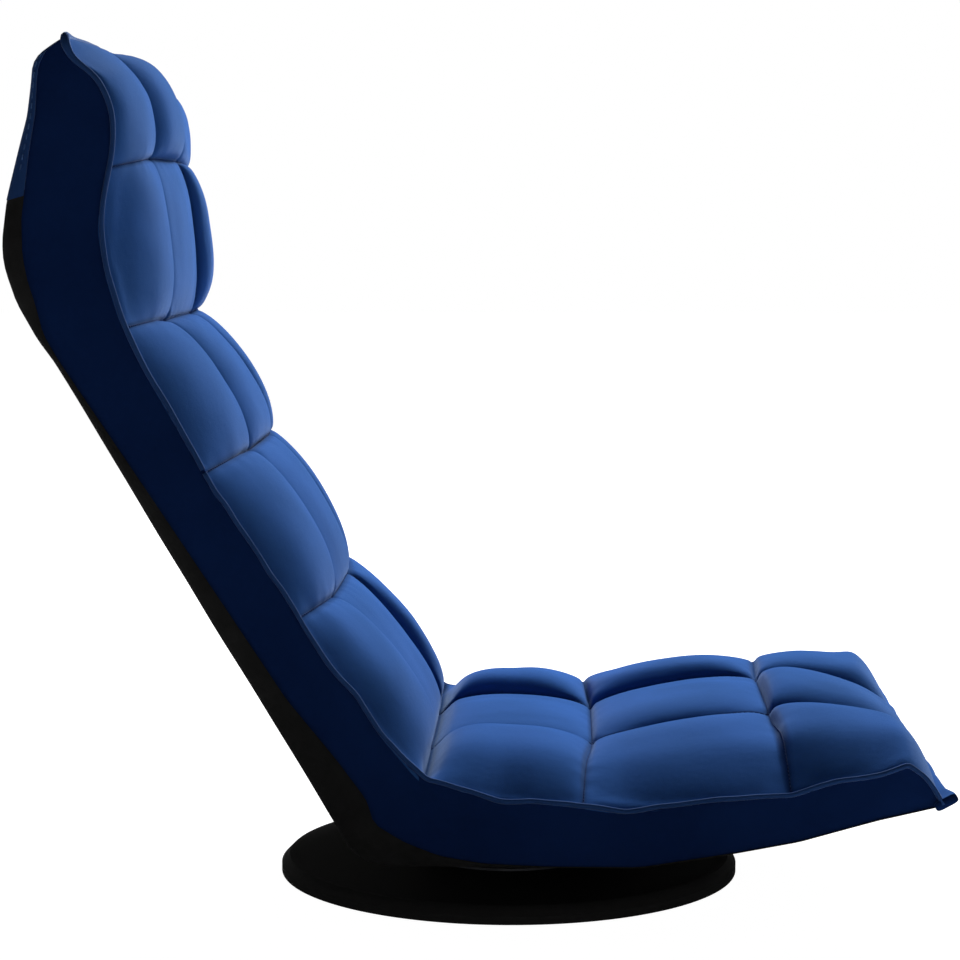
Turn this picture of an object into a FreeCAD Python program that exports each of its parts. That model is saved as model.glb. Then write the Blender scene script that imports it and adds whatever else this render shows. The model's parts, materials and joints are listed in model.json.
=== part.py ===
"""Floor chair: swivel disc, quilted seat, reclining back and folding head section."""

import FreeCAD
import Part
import Sketcher
import math
import os

Vector = FreeCAD.Vector
Placement = FreeCAD.Placement
Rotation = FreeCAD.Rotation
ACROSS = Vector(0, 1, 0)
UP = Vector(0, 0, 1)

# Driving dimensions, millimetres and degrees
SIZES = [
    ("half_width", 252, "middle plane to the outer face of a side panel"),
    ("fabric", 1.5, "thickness of a cover"),
    ("panel", 3, "thickness of a padded side panel"),
    ("slack", 0.3, "gap between pieces that must not rub"),
    ("pin_play", 0.05, "radial play of a pin in its hole"),
    ("disc_radius", 200, "base disc"),
    ("disc_thick", 14, "base disc"),
    ("disc_bevel", 7, "slope at the rim of the disc, across"),
    ("foot_thick", 3, "rubber ring under the disc"),
    ("foot_radius", 182, "outside of the rubber ring"),
    ("foot_width", 16, "breadth of the rubber ring"),
    ("plate_radius", 78, "bearing plates"),
    ("plate_thick", 2, "bearing plates"),
    ("race_radius", 50, "circle that the balls run on"),
    ("ball_radius", 3, "bearing balls"),
    ("groove_depth", 1, "how deep a ball sits in each plate"),
    ("ball_count", 16, "bearing balls"),
    ("rivet_radius", 6, "centre rivet of the bearing"),
    ("rivet_head", 10, "head of the centre rivet, radius"),
    ("rivet_head_thick", 2.5, "head of the centre rivet"),
    ("bolt_radius", 3, "bolts and screws"),
    ("bolt_play", 0.3, "bolt in its hole"),
    ("bolt_head", 5.5, "bolt head, radius"),
    ("bolt_head_thick", 3.5, "bolt head"),
    ("screw_depth", 10, "screw in the disc"),
    ("screw_circle", 68, "circle of the screws and bolts of the plates"),
    ("rail_length", 200, "swivel rails, along the seat"),
    ("rail_width", 32, "swivel rails"),
    ("rail_wall", 2, "swivel rails"),
    ("rail_offset", 48, "middle plane to a swivel rail"),
    ("rail_forward", 20, "middle of the rails in front of the swivel axis"),
    ("cross_gap", 155, "between the two cross tubes of the seat"),
    ("underside", 62, "floor to the bottom of the seat cover"),
    ("tube_radius", 10, "frame tubes"),
    ("tube_wall", 1.5, "frame tubes"),
    ("seat_tube_inset", 30, "outer face of a side panel to the middle of a seat side tube"),
    ("back_tube_inset", 33, "outer face of a side panel to the middle of a back side tube"),
    ("corner_radius", 45, "bent corners of the seat and back frames"),
    ("head_corner", 36, "bent corners of the head frame"),
    ("seat_tube_back", 58, "swivel axis back to the open ends of the seat frame"),
    ("seat_bend", 109, "swivel axis to the bend of the seat"),
    ("seat_front", 341, "swivel axis to the front edge"),
    ("seat_rise", 51, "lift of the underside at the front edge"),
    ("front_inset", 26, "front frame tube behind the front edge"),
    ("head_inset", 22, "head frame tube behind the top edge"),
    ("hem_radius", 4, "hem welt at the bottom front edge"),
    ("seat_depth", 48, "seat side panel, underside to welt, at its lowest"),
    ("seat_crown", 36, "rise of a seat tuft above its seams"),
    ("tuft_seat", 6, "least thickness of a quilted pad at its edge"),
    ("hinge_back", 95, "swivel axis to the recline axis"),
    ("hinge_height", 94, "floor to the recline axis"),
    ("recline_deg", 59.25, "slope of the back in the photograph"),
    ("back_length", 535, "recline axis to the head axis"),
    ("back_depth", 32, "recline axis to the rear face of the back"),
    ("back_edge", 30, "recline axis to the welt of the back"),
    ("back_crown", 30, "rise of a back tuft above its seams"),
    ("bend_deg", 43, "bend between back and head in the photograph"),
    ("head_length", 163, "head axis to the top edge"),
    ("head_depth", 20, "head axis to the rear face of the head"),
    ("head_edge", 50, "head axis to the welt of the head"),
    ("head_crown", 32, "rise of the top tuft"),
    ("neck_crown", 28, "rise of the neck tuft"),
    ("head_tube_radius", 8, "head frame tube"),
    ("welt_radius", 2.5, "cord in the welt"),
    ("column_seam", 78, "middle plane to a lengthwise seam"),
    ("strap_width", 40, "webbing"),
    ("strap_thick", 1.5, "webbing"),
    ("click_deg", 7.5, "one step of a ratchet hinge"),
    ("pawl_swing_deg", 6, "turn that lifts a pawl clear of the teeth"),
    ("pawl_flank_deg", 20, "slope of a pawl's nose"),
    ("recline_plate", 28, "toothed plate of the recline hinge, radius"),
    ("head_plate", 17, "toothed plate of the head hinge, radius"),
    ("tooth_plate", 4, "thickness of a toothed plate"),
    ("cheek_plate", 2.5, "thickness of a cheek plate"),
    ("heel_gap", 6, "recline axis to the heel of a back panel"),
    ("neck_gap", 4.5, "head axis to the panels on both sides of it"),
    ("foam_gap", 9, "hinge axes to the ends of the back's foam core"),
    ("frame_start", 60, "recline axis to the open ends of the back frame"),
    ("frame_gap", 35, "head axis to the frames on both sides of it"),
    ("cheek_reach", 100, "recline axis to the end of its cheek plates"),
    ("wheel_reach", 40, "swivel axis back to the end of the toothed plate's arm"),
    ("neck_reach", 45, "head axis to the end of its plates"),
]

# Outlines: reach as a share of the pad's length, height as a share of its depth or edge
SEAT_EDGE_SHARES = [(-0.164, 1.39), (-0.055, 1.23), (0.12, 1.07), (0.284, 0.95),
                    (0.543, 0.93), (0.77, 0.9), (0.935, 0.82)]
SEAT_SEAM_SHARES = [(-0.158, 1.44), (0.214, 1.39), (0.648, 1.44), (0.924, 0.9)]
SEAT_BULGE_SHARES = [0.9, 1.0, 0.8]
BACK_EDGE_SHARES = [(0.087, 1.49), (0.12, 1.33), (0.245, 1.1), (0.447, 1.0), (0.649, 0.93),
                    (0.804, 1.03), (0.897, 1.33), (0.935, 1.58)]
BACK_SEAM_SHARES = [(0.305, 1.12), (0.573, 1.32), (0.816, 1.17)]
BACK_BULGE_SHARES = [1.0, 1.0]
LUMBAR_SEAM_SHARES = [(0.0085, 1.52), (0.304, 1.12)]
LUMBAR_BULGE_SHARES = [1.0]
NECK_SEAM_SHARES = [(0.817, 1.15), (1.03, 3.33)]
NECK_BULGE_SHARES = [1.0]
HEAD_EDGE_SHARES = [(0.2, 1.04), (0.374, 1.0), (0.515, 1.0), (0.632, 0.94), (0.73, 0.84),
                    (0.8, 0.68), (0.853, 0.52), (0.896, 0.2), (0.933, 0.0), (0.99, -0.06)]
HEAD_SEAM_SHARES = [(0.523, 1.2), (0.985, 0.02)]
HEAD_BULGE_SHARES = [1.0]
CREASE_SHARES = (0.03, 1.69)
NECK_BEND_SHARE = 0.955
NECK_DEPTH_SHARE = 0.8
HEAD_BEND_SHARE = 0.93
HEAD_TIP_SHARE = 0.6
HEAD_FOAM_SHARE = 0.6
BACK_CROSS_SHARES = [0.17, 0.56]
HEAD_STRAP_SHARES = [0.42, 0.68]
STRAP_SHARES = [0.02, 0.2, 0.48, 0.72]
BACK_STRAP_SHARES = [0.22, 0.4, 0.68, 0.84]

# Across one column, from seam to seam: place, height of the seam line, bulge
MIDDLE_COLUMN_SHARES = [(-1.0, 1.0, 0.42), (-0.6, 1.0, 0.86), (0.0, 1.0, 1.0),
                        (0.6, 1.0, 0.86), (1.0, 1.0, 0.42)]
SIDE_COLUMN_SHARES = [(0.0, 1.0, 0.42), (0.2, 1.0, 0.86), (0.5, 0.96, 1.0),
                      (0.82, 0.7, 0.8), (1.0, 0.0, 0.2)]

# Ratchet hinge, in shares of the toothed plate's radius
TOOTH_DEPTH_SHARE = 0.08
TOOTH_LAND_SHARE = 0.2
PAWL_PIVOT_SHARES = (1.3, 0.72)
PAWL_SEAT_SHARE = 0.0225
PAWL_ROOT_SHARE = 0.2
BOSS_SHARE = 0.24
PIN_SHARE = 0.18
PIN_HEAD_SHARE = 1.5
RIVET_PLACE_SHARE = 0.8
PIVOT_SHARE = 0.11
ARM_SHARE = 0.34
CHEEK_SHARE = 0.8

doc = FreeCAD.newDocument("floor_chair")
sheet = doc.addObject("Spreadsheet::Sheet", "Size")
for line, (alias, number, meaning) in enumerate(SIZES, start=1):
    sheet.set("A%d" % line, meaning)
    sheet.set("B%d" % line, str(number))
    sheet.setAlias("B%d" % line, alias)
doc.recompute()

nodes = []


def size(alias):
    """The number in the sheet's cell of that name."""
    return float(sheet.get(alias))


def node(piece, label):
    """Name a finished sub-part, which is then written out under that name."""
    piece.Label = label
    nodes.append(piece)
    return piece


def bind(piece, **expressions):
    """Bind properties of an object to expressions in the sheet's names."""
    for name, text in expressions.items():
        piece.setExpression(name, text)
    return piece


def seat_place(y=0.0):
    """The seat's frame: the chair's own, moved across by y."""
    return Placement(Vector(0, y, 0), Rotation())


def hinge_place(y=0.0):
    """The chair's own directions, at the recline axis."""
    return Placement(Vector(-size("hinge_back"), y, size("hinge_height")), Rotation())


def back_place(y=0.0):
    """The back's frame: at the recline axis, laid along -X and then raised."""
    return hinge_place(y).multiply(Placement(Vector(), Rotation(ACROSS, size("recline_deg"))))


def neck_place(y=0.0):
    """The back's directions, at the head axis."""
    return back_place(y).multiply(Placement(Vector(-size("back_length"), 0, 0), Rotation()))


def head_place(y=0.0):
    """The head's frame: at the head axis, in line with the back and then bent forward."""
    return neck_place(y).multiply(Placement(Vector(), Rotation(ACROSS, size("bend_deg"))))


def outline_body(name, outline, width, place):
    """A padded sketch: the outline lies in the X-Z plane, its width is half to each side."""
    body = doc.addObject("PartDesign::Body", name)
    sketch = body.newObject("Sketcher::SketchObject", name + "_sketch")
    plane = [part for part in body.Origin.OriginFeatures if part.Role == "XZ_Plane"][0]
    sketch.AttachmentSupport = [(plane, "")]
    sketch.MapMode = "FlatFace"
    start = [solve(x_text) for x_text, _ in outline]
    height = [solve(z_text) for _, z_text in outline]
    count = len(outline)
    for i in range(count):
        j = (i + 1) % count
        sketch.addGeometry(Part.LineSegment(Vector(start[i], height[i], 0),
                                            Vector(start[j], height[j], 0)), False)
    for i in range(count):
        sketch.addConstraint(Sketcher.Constraint("Coincident", i, 2, (i + 1) % count, 1))
    for i, texts in enumerate(outline):
        for kind, text, now in zip(("DistanceX", "DistanceY"), texts, (start[i], height[i])):
            index = sketch.addConstraint(Sketcher.Constraint(kind, -1, 1, i, 1, now))
            sketch.setExpression("Constraints[%d]" % index, text)
    pad = body.newObject("PartDesign::Pad", name + "_pad")
    pad.Profile = sketch
    pad.Midplane = True
    pad.setExpression("Length", width)
    body.Placement = place
    return body


def solve(text):
    """The present value of an expression in the sheet's names."""
    value = sheet.evalExpression(text.replace("Size.", ""))
    return float(getattr(value, "Value", value))


def pair(left, label):
    """One node of two solids: a left piece and its mirror image across the middle plane."""
    right = doc.addObject("Part::Mirroring", label + "_right")
    right.Source = left
    right.Normal = ACROSS
    both = doc.addObject("Part::Compound", label + "_pair")
    both.Links = [left, right]
    return node(both, label)


def cut(base, *tools):
    """Take the tools out of the base, one after another."""
    for tool in tools:
        step = doc.addObject("Part::Cut", base.Name + "_cut")
        step.Base = base
        step.Tool = tool
        base = step
    return base


def cylinder(name, radius, height, place, x="0", y="0", z="0"):
    """A cylinder bound to the sheet, at a bound place along its frame's axes."""
    piece = doc.addObject("Part::Cylinder", name)
    piece.Placement = place
    return bind(piece, Radius=radius, Height=height, **base_texts(x, y, z))


def box(name, length, width, height, x="0", y="0", z="0"):
    """A box bound to the sheet, its low corner at a bound place."""
    piece = doc.addObject("Part::Box", name)
    return bind(piece, Length=length, Width=width, Height=height, **base_texts(x, y, z))


def base_texts(x, y, z):
    """Expressions for the three parts of a placement's base."""
    return {"Placement.Base.x": x, "Placement.Base.y": y, "Placement.Base.z": z}


def shaped(name, shape, place):
    """An object whose shape is worked out here; the shape's own shift is kept."""
    piece = doc.addObject("Part::Feature", name)
    piece.Shape = shape
    piece.Placement = place.multiply(shape.Placement)
    return piece


def shape_node(label, shape, place):
    """A sub-part whose shape is worked out here, in its own frame."""
    return node(shaped(label + "_shape", shape, place), label)


def at(x, z, y=0.0):
    """A point of a frame, with the height last in the world and second here."""
    return Vector(x, y, z)


def upright():
    """A placement that keeps a primitive's own axis along Z."""
    return Placement(Vector(0, 0, 0), Rotation())


def sideways():
    """A placement that lays a primitive's axis along Y."""
    return Placement(Vector(0, 0, 0), Rotation(Vector(1, 0, 0), -90))


def sweep_tube(points, radius, wall=0.0):
    """A tube with mitred bends along a run of points; solid if the wall is zero."""
    path = Part.makePolygon(points)
    shapes = []
    for reach in [radius] + ([radius - wall] if wall else []):
        ring = Part.makeCircle(reach, points[0], points[1] - points[0])
        shapes.append(path.makePipeShell([Part.Wire([ring])], True, False, 1))
    return shapes[0].cut(shapes[1]) if wall else shapes[0]


def arc_points(centre, first, last, steps=7):
    """Points on a bend about a centre, from the first arm to the last."""
    found = []
    for i in range(steps + 1):
        turn = i / steps * math.pi / 2
        found.append(centre + first * math.cos(turn) + last * math.sin(turn))
    return found


def hoop(ends, far, half, radius):
    """Centre line of a U-shaped frame: two side runs and a far run with round corners."""
    forward = far - ends[-1]
    forward = forward / forward.Length
    inner = far - forward * radius
    corner = inner + ACROSS * (half - radius)
    left = [point + ACROSS * half for point in ends]
    left += arc_points(corner, ACROSS * radius, forward * radius)
    right = [Vector(point.x, -point.y, point.z) for point in reversed(left)]
    return left + right


LEVEL_DISC_TOP = "(Size.foot_thick + Size.disc_thick)"
LEVEL_LOWER_TOP = "(%s + Size.plate_thick)" % LEVEL_DISC_TOP
PLATE_GAP = "(2 * (Size.ball_radius - Size.groove_depth))"
LEVEL_UPPER_LOW = "(%s + %s)" % (LEVEL_LOWER_TOP, PLATE_GAP)
LEVEL_UPPER_TOP = "(%s + Size.plate_thick)" % LEVEL_UPPER_LOW
LEVEL_RACE = "(%s + %s / 2)" % (LEVEL_LOWER_TOP, PLATE_GAP)
RAIL_HEIGHT = "(Size.underside - %s)" % LEVEL_UPPER_TOP
SEAT_TUBE = "(Size.fabric + Size.slack + Size.tube_radius)"
FOAM_FLOOR = "(Size.fabric + 3 * Size.slack + 2 * Size.tube_radius + Size.strap_thick)"
BACK_TUBE = "(-Size.back_depth + %s)" % SEAT_TUBE
HEAD_TUBE = "(-Size.head_depth + Size.fabric + Size.slack + Size.head_tube_radius)"
PAD_WIDTH = "(2 * (Size.half_width - Size.panel - Size.slack))"
SEAT_TUBE_OFFSET = "(Size.half_width - Size.seat_tube_inset)"
BACK_TUBE_OFFSET = "(Size.half_width - Size.back_tube_inset)"
HEAD_TUBE_OFFSET = ("(%s + Size.tube_radius - Size.slack - Size.cheek_plate - Size.head_tube_radius)"
                    % BACK_TUBE_OFFSET)
HEAD_CHEEK = "(Size.neck_reach + Size.frame_gap / 2)"
SEAT_TAIL = "(-Size.hinge_back + Size.panel)"


def seat_text(reach, height, extra="0"):
    """Expressions of a point above the seat's underside, which rises past its bend."""
    bend = "Size.seat_bend / Size.seat_front"
    lift = "Size.seat_rise * max(0; %s - %s) / (1 - %s)" % (reach, bend, bend)
    level = "Size.underside + %s + %s * Size.seat_depth + %s" % (lift, height, extra)
    return "%s * Size.seat_front" % reach, level


def pad_text(reach, height, length, edge, extra="0"):
    """Expressions of a point of the back or the head, which lies along -X in its frame."""
    return "-%s * Size.%s" % (reach, length), "%s * Size.%s + %s" % (height, edge, extra)


def back_text(reach, height, extra="0"):
    """A point of the back: reach by its length, height by its edge."""
    return pad_text(reach, height, "back_length", "back_edge", extra)


def head_text(reach, height, extra="0"):
    """A point of the head: reach by its length, height by its edge."""
    return pad_text(reach, height, "head_length", "head_edge", extra)


def solved(outline):
    """The outline's expressions as points of the X-Z plane."""
    return [at(solve(x_text), solve(z_text)) for x_text, z_text in outline]


def height_on(points, x):
    """Height of a run of points at x, straight between its points."""
    order = sorted(points, key=lambda point: point.x)
    if x <= order[0].x:
        return order[0].z
    for low, high in zip(order, order[1:]):
        if x <= high.x:
            return low.z + (high.z - low.z) * (x - low.x) / (high.x - low.x)
    return order[-1].z


def outward(chord):
    """The unit normal of a chord in the X-Z plane, on its upper side."""
    out = Vector(-chord.z, 0, chord.x) / chord.Length
    return out if out.z > 0 else -out


def quilt_section(y, seams, edges, base, bulges, edge_bulges, level, bulge):
    """One closed section of a quilted pad: a row of arcs over a plain foot.

    A tuft's rise fades towards the outer edge, where the arc follows the edge line.
    """
    top = [edge + (seam - edge) * level for seam, edge in zip(seams, edges)]
    parts = []
    for first, last, rise, edge_rise in zip(top, top[1:], bulges, edge_bulges):
        total = rise * bulge + edge_rise * (1 - level)
        if abs(total) < size("slack"):
            total = size("slack")
        crown = (first + last) / 2 + outward(last - first) * total
        parts.append(Part.Arc(first, crown, last).toShape())
    foot = [top[-1]] + list(reversed(base)) + [top[0]]
    parts += [Part.makeLine(a, b) for a, b in zip(foot, foot[1:])]
    wire = Part.Wire(parts)
    wire.translate(ACROSS * y)
    return wire


def quilted_pad(label, seams, edges, base, bulges, edge_bulges, place):
    """Three columns of tufts, each lofted across from seam to seam, made one solid."""
    seam_y = size("column_seam")
    edge_y = size("half_width") - size("panel") - size("slack")
    columns = [[(share * seam_y, a, b) for share, a, b in MIDDLE_COLUMN_SHARES]]
    side = [(seam_y + share * (edge_y - seam_y), a, b) for share, a, b in SIDE_COLUMN_SHARES]
    columns += [side, [(-y, a, b) for y, a, b in reversed(side)]]
    solids = []
    for stations in columns:
        wires = [quilt_section(y, seams, edges, base, bulges, edge_bulges, level, bulge)
                 for y, level, bulge in stations]
        solids.append(Part.makeLoft(wires, True, False))
    return shape_node(label, solids[0].fuse(solids[1:]).removeSplitter(), place)


def edge_rises(edges, edge_line):
    """How far the edge line stands over the chord of each tuft's edge."""
    rises = []
    for first, last in zip(edges, edges[1:]):
        middle = (first + last) / 2
        rises.append((height_on(edge_line, middle.x) - middle.z) * outward(last - first).z)
    return rises


def pad_over(label, seam_texts, edge_line, bulges, crown, place):
    """A quilted pad whose foot follows the edge line, a little below it."""
    seams = solved(seam_texts)
    rises = [share * size(crown) for share in bulges]
    edges = [at(seam.x, height_on(edge_line, seam.x)) for seam in seams]
    low, high = sorted((seams[0].x, seams[-1].x))
    inner = [point for point in edge_line if low < point.x < high]
    line = [edges[0]] + sorted(inner, key=lambda p: abs(p.x - edges[0].x)) + [edges[-1]]
    base = [point - UP * size("tuft_seat") for point in line]
    return quilted_pad(label, seams, edges, base, rises, edge_rises(edges, edge_line), place)


def strip(name, line, thick_text, width, place):
    """A cover: the line of expressions and the same line raised by the thickness."""
    raised = [(x, "%s + %s" % (z, thick_text)) for x, z in reversed(line)]
    return outline_body(name, line + raised, width, place)


def side_offset(width_text="Size.panel"):
    """Middle plane to the middle of a side panel."""
    return solve("Size.half_width - %s / 2" % width_text)


def raised_line(points, lift):
    """A run of points moved outwards, square to the run."""
    normals = [outward(last - first) for first, last in zip(points, points[1:])]
    sums = [a + b for a, b in zip(normals[:1] + normals, normals + normals[-1:])]
    return [point + total / total.Length * lift for point, total in zip(points, sums)]


def welt(label, edge_line, place_of):
    """The corded edge of one pad, left and right, along its edge line."""
    lift = solve("Size.welt_radius + Size.slack")
    y = solve("Size.half_width - Size.panel + Size.welt_radius")
    cord = sweep_tube(raised_line(edge_line, lift), size("welt_radius"))
    return pair(shaped(label + "_left", cord, place_of(y)), label)


def straps(places, half):
    """Flat webbing straps across a frame, each centred on its own placement."""
    bands = []
    for spot in places:
        band = Part.makeBox(size("strap_width"), 2 * half, size("strap_thick"),
                            Vector(-size("strap_width") / 2, -half, 0))
        bands.append(band.transformed(spot.toMatrix()))
    return Part.makeCompound(bands)


def slab(faces, thick):
    """Flat pieces of the X-Z plane, fused and given a thickness along Y, about y = 0."""
    solids = [face.extrude(ACROSS * thick) for face in faces]
    whole = solids[0].fuse(solids[1:]).removeSplitter() if len(solids) > 1 else solids[0]
    whole.translate(ACROSS * (-thick / 2))
    return whole


def round_face(centre, radius):
    """A disc in the X-Z plane."""
    return Part.Face(Part.Wire([Part.makeCircle(radius, centre, ACROSS)]))


def arm_face(start, end, half):
    """A straight arm in the X-Z plane, from start to end."""
    along = (end - start) / (end - start).Length
    off = Vector(-along.z, 0, along.x) * half
    return Part.Face(Part.makePolygon([start + off, end + off, end - off, start - off,
                                       start + off]))


def drill(solid, centre, radius):
    """The solid with a hole along Y, right through."""
    reach = 2 * size("half_width")
    tool = Part.makeCylinder(radius, 2 * reach, centre - ACROSS * reach, ACROSS)
    return solid.cut(tool)


def toothed_face(radius, phase_deg):
    """A ratchet wheel: one tooth gap lies in the direction of the phase."""
    pitch = size("click_deg")
    root = radius * (1 - TOOTH_DEPTH_SHARE)
    points = []
    for k in range(int(round(360 / pitch))):
        for share, reach in ((0.0, root), (0.5 - TOOTH_LAND_SHARE / 2, radius),
                             (0.5 + TOOTH_LAND_SHARE / 2, radius)):
            turn = math.radians(phase_deg + (k + share) * pitch)
            points.append(at(reach * math.cos(turn), reach * math.sin(turn)))
    return Part.Face(Part.makePolygon(points + points[:1]))


def ratchet_hinge(prefix, radius_name, middle, wheel_end, cheek_end, spring_root, wheel_place,
                  cheek_place, swing_name):
    """The toothed plates, pins, cheek plates, pawls and leaf springs of one hinge line.

    The wheel stands in its carrier's frame; the cheeks and the pawl in the frame of the
    part that folds. The pawl is drawn in a tooth gap and then turned back by its swing, so
    that it stands lifted clear of the teeth.
    """
    radius = size(radius_name)
    slack = size("slack")
    wide = size("tooth_plate")
    cheek = size("cheek_plate")
    pivot = at(-PAWL_PIVOT_SHARES[0] * radius, -PAWL_PIVOT_SHARES[1] * radius)
    centre = at(0, 0)
    rivet_spot = cheek_end * RIVET_PLACE_SHARE
    boss = BOSS_SHARE * radius
    pin = PIN_SHARE * radius
    play = size("pin_play")

    wheel = slab([toothed_face(radius, 180 - size(swing_name)),
                  arm_face(centre, wheel_end, ARM_SHARE * radius)], wide)
    wheel = drill(wheel, centre, pin + play)
    add_pair(prefix + "_toothed_plates", wheel, wheel_place, middle)

    shift = (wide + cheek) / 2 + slack
    plates = []
    for side in (-1, 1):
        plate = slab([round_face(centre, CHEEK_SHARE * radius), round_face(pivot, boss),
                      arm_face(centre, cheek_end, ARM_SHARE * radius),
                      arm_face(centre, pivot, boss)], cheek)
        plate = drill(plate, centre, pin + play)
        plate = drill(plate, pivot, PIVOT_SHARE * radius + play)
        plate = drill(plate, rivet_spot, PIVOT_SHARE * radius + play)
        plate.translate(ACROSS * side * shift)
        plates.append(plate)
    add_pair(prefix + "_cheek_plates", Part.makeCompound(plates), cheek_place, middle)

    span = wide + 2 * cheek + 2 * slack
    long = Part.makeCylinder(pin, span + 2 * slack, ACROSS * (-span / 2 - slack), ACROSS)
    heads = [Part.makeCylinder(pin * PIN_HEAD_SHARE, cheek / 2, ACROSS * start, ACROSS)
             for start in (span / 2 + slack, -span / 2 - slack - cheek / 2)]
    add_pair(prefix + "_hinge_pins", long.fuse(heads).removeSplitter(), wheel_place, middle)

    rivets = [Part.makeCylinder(PIVOT_SHARE * radius, span, spot - ACROSS * span / 2, ACROSS)
              for spot in (pivot, rivet_spot)]
    add_pair(prefix + "_cheek_rivets", Part.makeCompound(rivets), cheek_place, middle)

    tip = at(-radius * (1 - TOOTH_DEPTH_SHARE + PAWL_SEAT_SHARE), 0)
    land = TOOTH_LAND_SHARE * math.radians(size("click_deg")) * radius / 2
    flank = PAWL_ROOT_SHARE * radius
    half = flank * math.tan(math.radians(size("pawl_flank_deg"))) + land
    nose = Part.Face(Part.makePolygon([tip + UP * land, tip - UP * land,
                                       tip + at(-flank, -half), tip + at(-flank, half),
                                       tip + UP * land]))
    body = slab([nose, arm_face(tip + at(-flank, 0), pivot, flank / 2),
                 round_face(pivot, boss)], wide - 2 * slack)
    body = drill(body, pivot, PIVOT_SHARE * radius + play)
    body.rotate(pivot, ACROSS, -size("pawl_swing_deg"))
    add_pair(prefix + "_pawls", body, cheek_place, middle)

    reach = spring_root + pivot.x - boss - slack
    leaf = Part.makeBox(reach, wide, PIVOT_SHARE * radius / 2,
                        Vector(-spring_root, -wide / 2, pivot.z))
    add_pair(prefix + "_pawl_springs", leaf, cheek_place, middle)


def add_pair(label, shape, place_of, middle):
    """A left and right node from one shape, at the hinge's distance from the middle plane."""
    return pair(shaped(label + "_left", shape, place_of(middle)), label)


def base_parts():
    """The rubber ring, the disc, the fixed half of the bearing and its screws and rivet."""
    ring = cylinder("ring", "Size.foot_radius", "Size.foot_thick", upright())
    bore = cylinder("ring_bore", "Size.foot_radius - Size.foot_width", "Size.foot_thick", upright())
    node(cut(ring, bore), "foot_ring")

    rim = cylinder("rim", "Size.disc_radius", "Size.disc_thick - Size.disc_bevel", upright(),
                   z="Size.foot_thick")
    bevel = doc.addObject("Part::Cone", "bevel")
    bind(bevel, Radius1="Size.disc_radius", Radius2="Size.disc_radius - Size.disc_bevel",
         Height="Size.disc_bevel",
         **base_texts("0", "0", "Size.foot_thick + Size.disc_thick - Size.disc_bevel"))
    blank = doc.addObject("Part::Fuse", "disc_blank")
    blank.Base = rim
    blank.Tool = bevel
    spots = [("Size.screw_circle * cos(%d)" % turn, "Size.screw_circle * sin(%d)" % turn)
             for turn in (0, 90, 180, 270)]
    depth = "(%s - Size.screw_depth)" % LEVEL_DISC_TOP
    holes = [cylinder("screw_hole", "Size.bolt_radius + Size.pin_play",
                      "Size.screw_depth + Size.plate_thick", upright(), x, y, depth)
             for x, y in spots]
    disc = cut(blank, *holes)
    node(disc, "base_disc")

    plate = cylinder("lower_blank", "Size.plate_radius", "Size.plate_thick", upright(),
                     z=LEVEL_DISC_TOP)
    bore = cylinder("lower_bore", "Size.rivet_radius + Size.pin_play", "Size.plate_thick",
                    upright(), z=LEVEL_DISC_TOP)
    node(cut(plate, bore, race(), *holes), "bearing_lower_plate")

    screws = []
    for x, y in spots:
        shank = cylinder("screw", "Size.bolt_radius", "Size.screw_depth + Size.plate_thick",
                         upright(), x, y, depth)
        head = cylinder("screw_head", "Size.bolt_head", PLATE_GAP + " / 2", upright(), x, y,
                        LEVEL_LOWER_TOP)
        screws.append(joined("bearing_screw", shank, head))
    group("bearing_lower_screws", screws)

    shank = cylinder("rivet", "Size.rivet_radius",
                     "2 * Size.plate_thick + %s + Size.slack" % PLATE_GAP, upright(),
                     z=LEVEL_DISC_TOP)
    head = cylinder("rivet_top", "Size.rivet_head", "Size.rivet_head_thick", upright(),
                    z=LEVEL_UPPER_TOP + " + Size.slack")
    node(joined("bearing_rivet_whole", shank, head), "bearing_rivet")


def joined(name, first, second):
    """Two objects made one."""
    whole = doc.addObject("Part::Fuse", name)
    whole.Base = first
    whole.Tool = second
    return whole


def group(label, pieces):
    """One node of several separate solids."""
    whole = doc.addObject("Part::Compound", label + "_group")
    whole.Links = pieces
    return node(whole, label)


def race():
    """The ring that grooves both plates, a little wider than a ball."""
    ring = doc.addObject("Part::Torus", "race")
    return bind(ring, Radius1="Size.race_radius", Radius2="Size.ball_radius + Size.slack",
                **base_texts("0", "0", LEVEL_RACE))


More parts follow.
